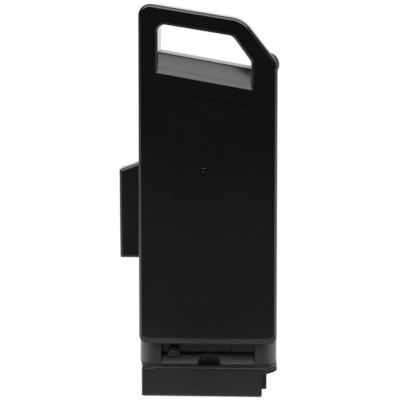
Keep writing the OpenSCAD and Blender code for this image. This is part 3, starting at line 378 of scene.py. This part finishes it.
# lip, riser and middle are the raised floor's corners, as depth from the face and height over its foot
grip = dict(left=-45.9 * mm, right=39.6 * mm, barHeight=16.6 * mm, openZ=293.2 * mm, floorSlope=10.2,
            cornerSlope=53.5, cornerWidth=21.8 * mm, radii=(3.5, 3.5, 6.0, 8.0, 6.0),
            lip=(4.6 * mm, 5.3 * mm), riser=(13 * mm, 17.7 * mm), middle=(39.6 * mm, 18.2 * mm),
            softFrom=(5 * mm, 12 * mm), soft=(1 * mm, 0.6 * mm), softSteps=13, rim=3 * mm, rimAngle=78,
            rimSteps=8, pastFace=0.25, pastRim=0.6, fineDepth=16 * mm, coarseSteps=8, fineSteps=36,
            tubeSteps=41, rearDraft=0.7 * mm, rearShift=-1.5 * mm, linedHalf=50 * mm, linedEnd=0.01 * mm)

def topAt(x):  # height of the sloped top
    return bendZ + (bendX - x) * topTan

cornerTan = math.tan(math.radians(casing["cornerSlope"]))  # both bend points lie on level width cornerWidth
gripBendX = bendX - (grip["cornerWidth"] - grip["barHeight"] / cornerTan) / (1 - topTan / cornerTan)
gripBendZ = topAt(gripBendX) - grip["barHeight"]
floorTan = math.tan(math.radians(grip["floorSlope"]))
gripCorners = np.array([
    [grip["left"], grip["openZ"] + (grip["right"] - grip["left"]) * floorTan], [grip["right"], grip["openZ"]],
    [grip["right"], gripBendZ - (grip["right"] - gripBendX) * math.tan(math.radians(grip["cornerSlope"]))],
    [gripBendX, gripBendZ], [grip["left"], topAt(grip["left"]) - grip["barHeight"]]])

def gripRing(outward):  # outline of the opening, let out on all sides
    return roundRing(insetRing(gripCorners, -outward), np.array(grip["radii"]) * mm + outward)

def floorAt(x):  # foot of the raised floor
    return grip["openZ"] + (grip["right"] + casing["wall"] - x) * floorTan

def crownHeight(y):  # bevel, steeper riser, then nearly flat to the middle, softened over about a millimetre
    steps = np.array([(0, 0), grip["lip"], grip["riser"], grip["middle"]])
    depth = casing["halfDepth"] - np.abs(np.asarray(y))[:, None]
    spread = np.interp(depth, grip["softFrom"], grip["soft"])
    edge = depth + np.linspace(-1, 1, grip["softSteps"]) * spread
    return np.interp(edge, steps[:, 0], steps[:, 1]).mean(1)

def tunnelRings(depths, spreads, wallOut):  # opening outline along the depth, its foot lifted to the floor
    rings = []
    for y, spread, lift in zip(depths, spreads, crownHeight(depths)):
        back = max(y, 0) / casing["halfDepth"]
        ring = gripRing(spread + wallOut + grip["rearDraft"] * back)
        ring[:, 0] += grip["rearShift"] * back
        floor = floorAt(ring[:, 0]) + lift - spread / 2 - wallOut
        ring[:, 1] = np.maximum(ring[:, 1], floor)
        rings.append(facing(ring, y))
    return rings

def gripTunnel():  # the opening itself, its rims flared at both faces
    half, rim = casing["halfDepth"], grip["rim"]
    flare = np.radians(np.linspace(0, grip["rimAngle"], grip["rimSteps"]))
    out, gone = rim * (1 - np.cos(flare)), rim * (1 - np.sin(flare))
    bend = half - grip["fineDepth"]
    inner = np.concatenate([np.linspace(0, bend, grip["coarseSteps"])[:-1],
                            np.linspace(bend, half - rim, grip["fineSteps"])[:-1]])
    depths = np.concatenate([inner, half - gone, [half + grip["pastFace"] * rim]])
    spreads = np.concatenate([inner * 0, out, [out[-1] + grip["pastRim"] * rim]])
    depths, spreads = np.concatenate([-depths[:0:-1], depths]), np.concatenate([spreads[:0:-1], spreads])
    return loft("gripTunnel", tunnelRings(depths, spreads, 0.0))

def gripTube():  # the opening with a wall round it
    depths = np.linspace(-casing["halfDepth"], casing["halfDepth"], grip["tubeSteps"])
    return loft("gripTube", tunnelRings(depths, depths * 0, casing["wall"]))

panel = dict(left=-29.6 * mm, top=275.0 * mm, height=118 * mm, depth=0.7 * mm, radius=10 * mm,
             corner=0.6 * mm)

def panelCutter():  # its floor sinks from nothing at the lower end to full depth at the top
    right, low = casing["halfWidth"] - casing["edge"], panel["top"] - panel["height"]
    high = panel["top"] + (right - panel["left"]) * topTan
    ring = roundRing([[panel["left"], low], [right, low], [right, panel["top"]], [panel["left"], high]],
                     [panel["radius"], panel["corner"], panel["radius"] / 2, panel["radius"]])
    outer, inner = facing(ring, -casing["halfDepth"] - over), facing(ring, 0)
    inner[:, 1] = panel["depth"] * (inner[:, 2] - low) / panel["height"] - casing["halfDepth"]
    return loft("panelCutter", [outer, inner])

# heights along the button's axis are measured from the casing's corner
button = dict(shoulder=12 * mm, radius=7.2 * mm, gap=0.3 * mm, bezelWidth=1.6 * mm, sleeve=9.5 * mm,
              out=2.6 * mm, dome=2.5 * mm, seat=-4 * mm, lip=0.8 * mm, soft=0.2 * mm, collar=1.4 * mm,
              play=0.05 * mm, stem=1.6 * mm, stemEnd=-6.2 * mm, bezelSteps=8, domeSteps=20,
              bore=(-11.7 * mm, 7.3 * mm))
tilt = math.radians((90 - casing["cornerSlope"]) / 2)
buttonAxis = np.array([math.cos(tilt), 0, math.sin(tilt)])
cutBack = button["shoulder"] / math.cos(tilt) - button["shoulder"]
buttonPlace = np.array([casing["halfWidth"], 0, casing["shoulder"]]) - cutBack * buttonAxis
bezelRadius = button["radius"] + button["gap"] + button["bezelWidth"]
vent = dict(x=-4.3 * mm, z=216.9 * mm, radius=3.9 * mm, sunk=0.2 * mm, centre=0.2 * mm, dotFlat=0.5 * mm,
            dotRound=0.4 * mm, dotRise=0.2 * mm, dotSteps=6, ringIn=1.05 * mm, ringHalf=0.35 * mm,
            ringDeep=0.3 * mm, ringSteps=9, rim=0.25 * mm, back=-36.8 * mm, steps=64)
screwBore = dict(radius=3.6 * mm, caseFrom=8 * mm, places=[
    (-54.6 * mm, 59.2 * mm), (54.6 * mm, 59.2 * mm), (-54.6 * mm, 275.9 * mm), (-55.4 * mm, 317.2 * mm),
    (27.15 * mm, 349.19 * mm)])

def roundBar(name, radius, origin, axis, low, high):  # cylinder along the axis, from low to high
    return spun(name, [(radius, low), (radius, high)], origin, axis, boreSteps)

def lineGrip(half):  # second finish on the faces of the raised floor
    half.data.materials.append(gripBlack)
    where = np.array([face.center for face in half.data.polygons])
    floor = np.abs(where[:, 2] - floorAt(where[:, 0]) - crownHeight(where[:, 1])) < grip["rim"] / 2
    between = np.abs(where[:, 1]) < casing["halfDepth"] - grip["linedEnd"]
    inside = (np.abs(where[:, 0]) < grip["linedHalf"]) & between
    half.data.polygons.foreach_set("material_index", (floor & inside).astype(np.int32))

def makeCasing():  # two halves, hollow but for the wall round the opening, cut by opening, slot and bores
    tunnel, tube, ring = gripTunnel(), gripTube(), caseRing(casing["wall"])
    for name, side, node in (("casingFront", -1, "front_shell"), ("casingRear", 1, "rear_shell")):
        half = caseBlock(name, side)
        hollow = loft("hollow", [facing(ring, -side * over), facing(ring, side * innerDepth)])
        combine(hollow, [copyOf(tube, "tubeCopy")])
        cutters = [hollow, copyOf(tunnel, "tunnelCopy"), boxShape("displaySlot", *casing["slot"]),
                   roundBar("buttonBore", bezelRadius + fit, buttonPlace, buttonAxis, *button["bore"])]
        if side < 0:
            cutters += [panelCutter(),
                        roundBar("ventBore", vent["radius"] + fit, (vent["x"], 0, vent["z"]), (0, 1, 0),
                                 -casing["halfDepth"] - over, over - innerDepth)]
        else:
            cutters += [roundBar("screwBore", screwBore["radius"], (x, 0, z), (0, 1, 0),
                                 screwBore["caseFrom"], casing["halfDepth"] + over)
                        for x, z in screwBore["places"]]
        combine(half, cutters)
        dress(half, "battery", caseBlack, [node])
        lineGrip(half)
    for tool in (tunnel, tube):
        bpy.data.objects.remove(tool)

makeCasing()
print("casing done")

def makeVent():  # flat disc with a dot; its face runs out and back over the ring groove under it
    r, face = vent["radius"], vent["sunk"] - casing["halfDepth"]
    middle, rim = r - vent["ringIn"], vent["rim"]
    profile = [(vent["centre"], face - vent["dotRise"])]
    profile += [(vent["dotFlat"] + vent["dotRound"] * math.sin(a), face - vent["dotRise"] * math.cos(a))
                for a in np.linspace(0, math.pi / 2, vent["dotSteps"])]
    profile += [(middle + vent["ringHalf"] * math.cos(a), face + vent["ringDeep"] * math.sin(a))
                for a in np.linspace(0, math.pi, vent["ringSteps"])]
    profile += [(r - rim, face), (r, face + rim), (r, vent["back"])]
    cap = spun("ventCap", profile, (vent["x"], 0, vent["z"]), (0, 1, 0), vent["steps"])
    dress(cap, "battery", caseBlack, ["vent_plug"])

makeVent()

def domeHeight(x):  # sphere through the middle of the cap and its edge; the bezel carries it on
    sphere = (button["radius"] ** 2 + button["dome"] ** 2) / (2 * button["dome"])
    return button["out"] - sphere + np.sqrt(sphere ** 2 - np.asarray(x) ** 2)

def makeButton():  # bezel and cap, each a profile turned about the button's axis
    outer, innerR, r = bezelRadius, button["radius"] + button["gap"], button["radius"]
    soft, seat, lip, sleeve = button["soft"], button["seat"], button["lip"], button["sleeve"]
    face = np.linspace(outer - soft, innerR + soft, button["bezelSteps"])
    profile = [(outer, -sleeve), (outer, domeHeight(outer) - soft)]
    profile += list(zip(face, domeHeight(face)))
    profile += [(innerR, domeHeight(innerR) - soft), (innerR, seat), (innerR + lip, seat),
                (innerR + lip, -sleeve)]
    bezel = spun("buttonBezel", profile, buttonPlace, buttonAxis, closed=True)
    dress(bezel, "battery", bezelBlack, ["button_bezel"])
    x = np.linspace(r - soft, soft, button["domeSteps"])
    under, stem = seat - button["play"], button["stem"]
    collar = under - button["collar"]
    profile = [(stem, button["stemEnd"]), (stem, collar), (r + lip, collar), (r + lip, under), (r, under),
               (r, domeHeight(r) - soft)]
    cap = spun("pushButton", profile + list(zip(x, domeHeight(x))), buttonPlace, buttonAxis)
    dress(cap, "button", buttonBlack, ["charge_button"])

makeButton()
print("button done")

# an outline drawn through the depth, its edges rounded all round
def roundedBar(name, corners, halfDepth, edge, corner, least, edgeSteps, cornerSteps):
    inset, rise = quarter(edge, edgeSteps)
    depth = halfDepth - edge + rise
    amounts, depths = np.concatenate([inset[::-1], inset]), np.concatenate([-depth[::-1], depth])
    return loft(name, [facing(roundRing(insetRing(corners, a), max(corner - a, least), cornerSteps), y)
                       for a, y in zip(amounts, depths)])

block = dict(outer=-85.1 * mm, low=129.6 * mm, height=85.4 * mm, halfDepth=11 * mm, slope=20, edge=3.4 * mm,
             corner=1.8 * mm, least=0.4 * mm, edgeSteps=8, cornerSteps=14, root=-61.5 * mm,
             strikerRadius=8.15 * mm, strikerDeep=14.15 * mm, screwAside=5.5 * mm, screwApart=33.9 * mm,
             screwDeep=10.3 * mm)

def makeBlock():  # rounded bar with a slanted top, bored for the striker and four screws
    outer, root, low, high = block["outer"], block["root"], block["low"], block["low"] + block["height"]
    top = high + (root - outer) * math.tan(math.radians(block["slope"]))
    corners = [[outer, low], [root, low], [root, top], [outer, high]]
    made = roundedBar("guideBlock", corners, block["halfDepth"], block["edge"], block["corner"],
                      block["least"], block["edgeSteps"], block["cornerSteps"])
    middle = low + block["height"] / 2
    cutters = [roundBar("strikerBore", block["strikerRadius"], (outer, 0, middle), (1, 0, 0), -over,
                        block["strikerDeep"])]
    for s in (-1, 1):
        for t in (-1, 1):
            place = (outer, t * block["screwAside"], middle + s * block["screwApart"])
            cutters.append(roundBar("blockBore", screwBore["radius"], place, (1, 0, 0), -over,
                                    block["screwDeep"]))
    combine(made, cutters)
    dress(made, "battery", blockBlack, ["guide_block"])

makeBlock()
print("guide block done")

# the window's floor climbs by heights at depths; the latch pocket is an arc cut by a flatter front arc
waist = dict(halfX=65.4 * mm, halfY=32.6 * mm, radius=15 * mm, least=0.3 * mm, planSteps=18, low=31.4 * mm,
             high=53.0 * mm, sill=32.5 * mm, windowHalf=44.7 * mm, windowTop=51.0 * mm, back=-17.6 * mm,
             corner=1.6 * mm, cornerSteps=8, soft=0.3 * mm, flareAngle=78, flareSteps=6, pastFace=0.4,
             pastRim=1.4, climbDepth=(0, 11.2 * mm, 15 * mm), climbHeight=(0, 6.2 * mm, 6.7 * mm),
             # the next three choose the faces of the window's floor that get the painted light: facing up,
             # not turned aside, above the foot
             paintedLightUp=0.3, paintedLightAside=0.1, paintedLightFoot=0.5 * mm,
             grooveX=(20.85 * mm, 22.05 * mm), grooveY=(2 * mm, 2.5 * mm), grooveFoot=7 * mm)
latch = dict(x=1 * mm, radius=11.1 * mm, front=2.6 * mm, low=24.4 * mm, rise=10 * mm, steps=96)
boss = dict(x=-32.9 * mm, z=40.8 * mm, radius=5.6 * mm, out=10.5 * mm, soft=0.5 * mm, bevel=0.15 * mm,
            steps=64, boreRadius=4.4 * mm, boreDeep=2.4 * mm)

def planRing(left, right, halfY, radius, steps, inset=0.0):  # rounded rectangle seen from above
    ring = [[left + inset, -halfY + inset], [right - inset, -halfY + inset],
            [right - inset, halfY - inset], [left + inset, halfY - inset]]
    return roundRing(ring, max(radius - inset, waist["least"]), steps)

def waistRing(outward=0.0):  # plan of the waist, let out on all sides
    return planRing(-waist["halfX"] - outward, waist["halfX"] + outward, waist["halfY"] + outward,
                    waist["radius"], waist["planSteps"])

def latchCutter(low, high):  # the nearer of two circles in each direction
    t = np.linspace(0, 2 * math.pi, latch["steps"], endpoint=False)
    u = np.stack([np.cos(t), np.sin(t)], 1)
    big = (latch["radius"] ** 2 + latch["front"] ** 2) / (2 * latch["front"])
    offset = np.array([0, -(big - latch["front"])])
    b = u @ offset
    reach = -b + np.sqrt(b * b - (offset @ offset - big * big))
    r = np.minimum(latch["radius"], reach)[:, None]
    ring = np.array([latch["x"], -waist["halfY"]]) + r * u
    return loft("latchCutter", [lying(ring, low), lying(ring, high)])

def windowCutter():  # rounded slot whose floor climbs from the sill and levels off, its rim flared
    half, soft, face = waist["windowHalf"], waist["soft"], -waist["halfY"]
    flare = np.radians(np.linspace(waist["flareAngle"], 0, waist["flareSteps"]))
    inside = np.array(waist["climbDepth"][1:])
    outs = np.concatenate([[waist["pastRim"] * soft], soft * (1 - np.cos(flare)), inside * 0])
    depths = np.concatenate([[face - waist["pastFace"] * soft], face + soft * (1 - np.sin(flare)),
                             face + inside])
    rings = []
    for out, y in zip(outs, depths):
        foot = waist["sill"] - out + np.interp(y - face, waist["climbDepth"], waist["climbHeight"])
        top = waist["windowTop"] + out
        ring = [[-half - out, foot], [half + out, foot], [half + out, top], [-half - out, top]]
        rings.append(facing(roundRing(ring, waist["corner"] + out, waist["cornerSteps"]), y))
    return loft("windowCutter", rings)

def paintRampLight(made):  # painted light: a lighter finish on the window's up-facing floor faces, standing in for the light the climbing floor catches
    made.data.materials.append(rampPaintedLight)
    face, foot = waist["soft"] - waist["halfY"], waist["low"] + waist["paintedLightFoot"]
    ramp = [f.normal.z > waist["paintedLightUp"] and abs(f.normal.x) < waist["paintedLightAside"] and f.center.y > face
            and foot < f.center.z < waist["windowTop"] for f in made.data.polygons]
    made.data.polygons.foreach_set("material_index", np.array(ramp, np.int32))

def makeWaist():  # rounded block cut by window, groove and latch pocket, with a bored boss on its back
    made = loft("waist", [lying(waistRing(), z) for z in (waist["low"], waist["high"])])
    back, (left, right), (ahead, behind) = waist["back"], waist["grooveX"], waist["grooveY"]
    groove = boxShape("groove", (left, back - ahead, waist["sill"] + waist["grooveFoot"]),
                      (right, back + behind, waist["windowTop"]))
    combine(made, [windowCutter(), groove])
    front, r, soft, bevel = back - boss["out"], boss["radius"], boss["soft"], boss["bevel"]
    place = (boss["x"], 0, boss["z"])
    stud = spun("boss", [(r - soft, front), (r - bevel, front + bevel), (r, front + soft), (r, back + over)],
                place, (0, 1, 0), boss["steps"])
    combine(made, [stud], "UNION")
    combine(made, [roundBar("bossBore", boss["boreRadius"], place, (0, 1, 0), front - over,
                            front + boss["boreDeep"]),
                   latchCutter(waist["low"] - over, waist["sill"] + latch["rise"])])
    dress(made, "battery", waistBlack, ["neck"])
    paintRampLight(made)

makeWaist()
print("waist done")

# radii of the outlines from the lower left corner on, in millimetres
plinth = dict(left=-62.9 * mm, rimLeft=-64.2 * mm, right=65.7 * mm, halfY=39.6 * mm, end=51.4 * mm,
              low=22.9 * mm, rim=30.1 * mm, below=0.9 * mm, rimFoot=1.9 * mm, tip=4 * mm, rise=3.6 * mm,
              corner=3 * mm, cornerSteps=10, rimRadius=17 * mm, rimSteps=18, soft=0.8 * mm,
              softSteps=5, sideRadii=(3.0, 3.0, 0.5, 1.5, 1.5, 0.1, 0.1), sideSteps=6, acrossSteps=14,
              acrossRadii=(7.4, 7.4, 0.1, 0.1), past=0.02 * mm, rimIn=0.03 * mm, flare=0.3 * mm,
              flareDrop=0.1 * mm, reachY=50 * mm, reachX=70 * mm, screwEnd=6.6 * mm, screwAside=8.8 * mm,
              screwDeep=20.6 * mm, socket=((-49 * mm, -15 * mm, -over), (-9 * mm, 15 * mm, 18 * mm)))

def plinthForms(p):  # the outlines along and across the plinth
    left, right, half, high = p["left"] - p["past"], p["right"] + p["past"], p["halfY"] + p["past"], p["rim"]
    side = roundRing([[left, 0], [p["end"], 0], [p["end"], p["low"]],
                      [p["right"] - p["tip"], p["low"] + p["rise"]],
                      [right, p["low"] + p["rise"] + p["tip"] / 2], [right, high + 2 * over],
                      [left, high + 2 * over]], np.array(p["sideRadii"]) * mm, p["sideSteps"])
    across = roundRing([[-half, 0], [half, 0], [half, high + over], [-half, high + over]],
                       np.array(p["acrossRadii"]) * mm, p["acrossSteps"])
    return [loft("sideForm", [facing(side, -p["reachY"]), facing(side, p["reachY"])]),
            loft("acrossForm", [sideways(across, -p["reachX"]), sideways(across, p["reachX"])])]

def makePlinth():  # rounded block cut to its two side outlines, with the flange's rim joined on
    p, top = plinth, plinth["rim"] - plinth["below"]
    inset, rise = quarter(p["soft"], p["softSteps"])
    plan = [(0, -over), (0, top - p["soft"])] + list(zip(inset, top - p["soft"] + rise))
    outline = (p["left"], p["right"], p["halfY"], p["corner"], p["cornerSteps"])
    body = loft("plinth", [lying(planRing(*outline, a), z) for a, z in plan])
    combine(body, plinthForms(p), "INTERSECT")
    levels = [(p["rimIn"], p["rim"] - p["rimFoot"])]
    levels += list(zip(inset + p["rimIn"], p["rim"] - p["soft"] + rise))
    outline = (p["rimLeft"], p["right"], p["halfY"], p["rimRadius"], p["rimSteps"])
    rim = [lying(planRing(*outline, a), z) for a, z in levels]
    rim += [lying(waistRing(p["flare"]), waist["low"] - p["flareDrop"]), lying(waistRing(), waist["low"])]
    combine(body, [loft("rimForm", rim)], "UNION")
    cutters = [boxShape("socketBox", *p["socket"]), latchCutter(latch["low"], waist["low"] + over)]
    for x in (p["left"] + p["screwEnd"], p["end"] - p["screwEnd"]):
        for y in (-p["screwAside"], p["screwAside"]):
            cutters.append(roundBar("plinthBore", screwBore["radius"], (x, y, 0), (0, 0, 1), -over,
                                    p["screwDeep"]))
    combine(body, cutters)
    dress(body, "battery", plinthBlack, ["plinth"])

makePlinth()
print("plinth done")

tab = dict(left=48.4 * mm, right=56.2 * mm, low=1.0 * mm, high=22.9 * mm, halfDepth=12 * mm, edge=0.7 * mm,
           corner=1.2 * mm, least=0.3 * mm, edgeSteps=4, cornerSteps=8)

def makeTab():  # rounded tongue at the end of the plinth
    corners = [[tab["left"], tab["low"]], [tab["right"], tab["low"]], [tab["right"], tab["high"]],
               [tab["left"], tab["high"]]]
    made = roundedBar("keyTab", corners, tab["halfDepth"], tab["edge"], tab["corner"], tab["least"],
                      tab["edgeSteps"], tab["cornerSteps"])
    dress(made, "battery", plinthBlack, ["key_tab"])

makeTab()
print("key tab done")

# pairs are ranges in metres or in parts of a direction, over which a glow fades in or out
studio = dict(floorSize=6.0, floorColour=0.135, cameraLift=0.94, liftRange=(0.25, 1.4), wider=1.2,
              aroundRange=(0.0, 0.15), farLeft=(-1.0, -0.5), farLeftGlow=0.25, nearGlow=0.4,
              nearRange=(0.04, 0.19), ahead=0.01, behind=0.25, roomRange=(-0.25, 0.55), leftShift=0.6,
              backdropRange=(0.0, 0.3))
lamps = dict(  # place, aim, size, power, seen in reflections
    topBox=((0.0, -0.75, 1.5), (0, 0, 0.2), (2.4, 1.2), 26, True),
    leftBox=((-1.4, -0.3, 0.5), (0, 0, 0.18), (0.5, 1.0), 9, False),
    rightBox=((1.4, -0.3, 0.5), (0, 0, 0.18), (0.5, 1.0), 4, False),
    frontFill=((0.4, -2.6, 1.1), (0, 0, 0.18), (1.6, 1.2), 2.6, False))

def splitOf(tree, kind):  # X and Y of a texture coordinate
    split = tree.nodes.new("ShaderNodeSeparateXYZ")
    tree.links.new(tree.nodes.new("ShaderNodeTexCoord").outputs[kind], split.inputs[0])
    return split.outputs["X"], split.outputs["Y"]

def floorGlow(tree, x, y):  # white behind and beside the object, a faint glow close before it
    aside = maths(tree, "ABSOLUTE", x, 0.0)
    beside = maths(tree, "ADD", y, maths(tree, "MULTIPLY", aside, studio["wider"]))
    around = maths(tree, "MULTIPLY", ranged(tree, x, *studio["farLeft"], studio["farLeftGlow"], 1.0),
                   ranged(tree, beside, *studio["aroundRange"], 0.0, 1.0))
    before = maths(tree, "MULTIPLY", maths(tree, "ADD", y, aside), -1.0)
    near = ranged(tree, before, *studio["nearRange"], studio["nearGlow"], 0.0)
    return maths(tree, "MAXIMUM", around, near)

def makeFloor():  # matt to lamps and shadows, pale or white to the camera
    size = studio["floorSize"]
    grid = np.array([[-size, -size, 0], [size, -size, 0], [size, size, 0], [-size, size, 0]])
    floor = makeObject("floor", grid, [[0, 1, 2, 3]])
    material = bpy.data.materials.new("paleFloor")
    material.use_nodes = True
    tree = material.node_tree
    tree.nodes.clear()
    matt = tree.nodes.new("ShaderNodeBsdfDiffuse")
    matt.inputs["Color"].default_value = (*[studio["floorColour"]] * 3, 1)
    glow, path = tree.nodes.new("ShaderNodeEmission"), tree.nodes.new("ShaderNodeLightPath")
    away = tree.nodes.new("ShaderNodeVectorMath")  # what the camera sees turns white away from the object
    away.operation = "LENGTH"
    tree.links.new(tree.nodes.new("ShaderNodeTexCoord").outputs["Object"], away.inputs[0])
    glossy = maths(tree, "MULTIPLY", path.outputs["Is Glossy Ray"], floorGlow(tree, *splitOf(tree, "Object")))
    seen = maths(tree, "MAXIMUM", path.outputs["Is Camera Ray"],
                 maths(tree, "MAXIMUM", glossy, path.outputs["Is Transmission Ray"]))
    lift = ranged(tree, away.outputs["Value"], *studio["liftRange"], studio["cameraLift"], 1.0)
    tree.links.new(maths(tree, "MULTIPLY", seen, lift), glow.inputs["Strength"])
    both, out = tree.nodes.new("ShaderNodeAddShader"), tree.nodes.new("ShaderNodeOutputMaterial")
    tree.links.new(matt.outputs[0], both.inputs[0])
    tree.links.new(glow.outputs[0], both.inputs[1])
    tree.links.new(both.outputs[0], out.inputs["Surface"])
    floor.data.materials.append(material)

def makeWorld():  # white where the camera looks, white backdrop behind the object, dim room in front of it
    world = bpy.data.worlds.new("studioWorld")
    bpy.context.scene.world = world
    world.use_nodes = True
    tree = world.node_tree
    background = tree.nodes["Background"]
    path = tree.nodes.new("ShaderNodeLightPath")
    x, y = splitOf(tree, "Generated")
    room = ranged(tree, y, *studio["roomRange"], studio["ahead"], studio["behind"])
    seen = maths(tree, "MAXIMUM", path.outputs["Is Camera Ray"], path.outputs["Is Transmission Ray"])
    leftward = maths(tree, "MULTIPLY", maths(tree, "MINIMUM", x, 0.0), studio["leftShift"])
    backdrop = ranged(tree, maths(tree, "ADD", y, leftward), *studio["backdropRange"], 0.0, 1.0)
    glossy = maths(tree, "MULTIPLY", path.outputs["Is Glossy Ray"], backdrop)
    level = maths(tree, "MAXIMUM", maths(tree, "MAXIMUM", seen, glossy), room)
    tree.links.new(level, background.inputs["Strength"])
    background.inputs["Color"].default_value = (1, 1, 1, 1)

def makeLamp(name, place, aim, size, power, glossy):
    data = bpy.data.lights.new(name, "AREA")
    data.shape, data.size, data.size_y, data.energy = "RECTANGLE", size[0], size[1], power
    lamp = bpy.data.objects.new(name, data)
    lamp.location = place
    lamp.visible_glossy = glossy
    lamp.rotation_euler = (Vector(aim) - Vector(place)).to_track_quat("-Z", "Y").to_euler()
    bpy.context.scene.collection.objects.link(lamp)

makeFloor()
makeWorld()
for name, values in lamps.items():
    makeLamp(name, *values)
bpy.context.scene.view_settings.view_transform = "Standard"
print("studio lit")

bpy.context.view_layer.update()
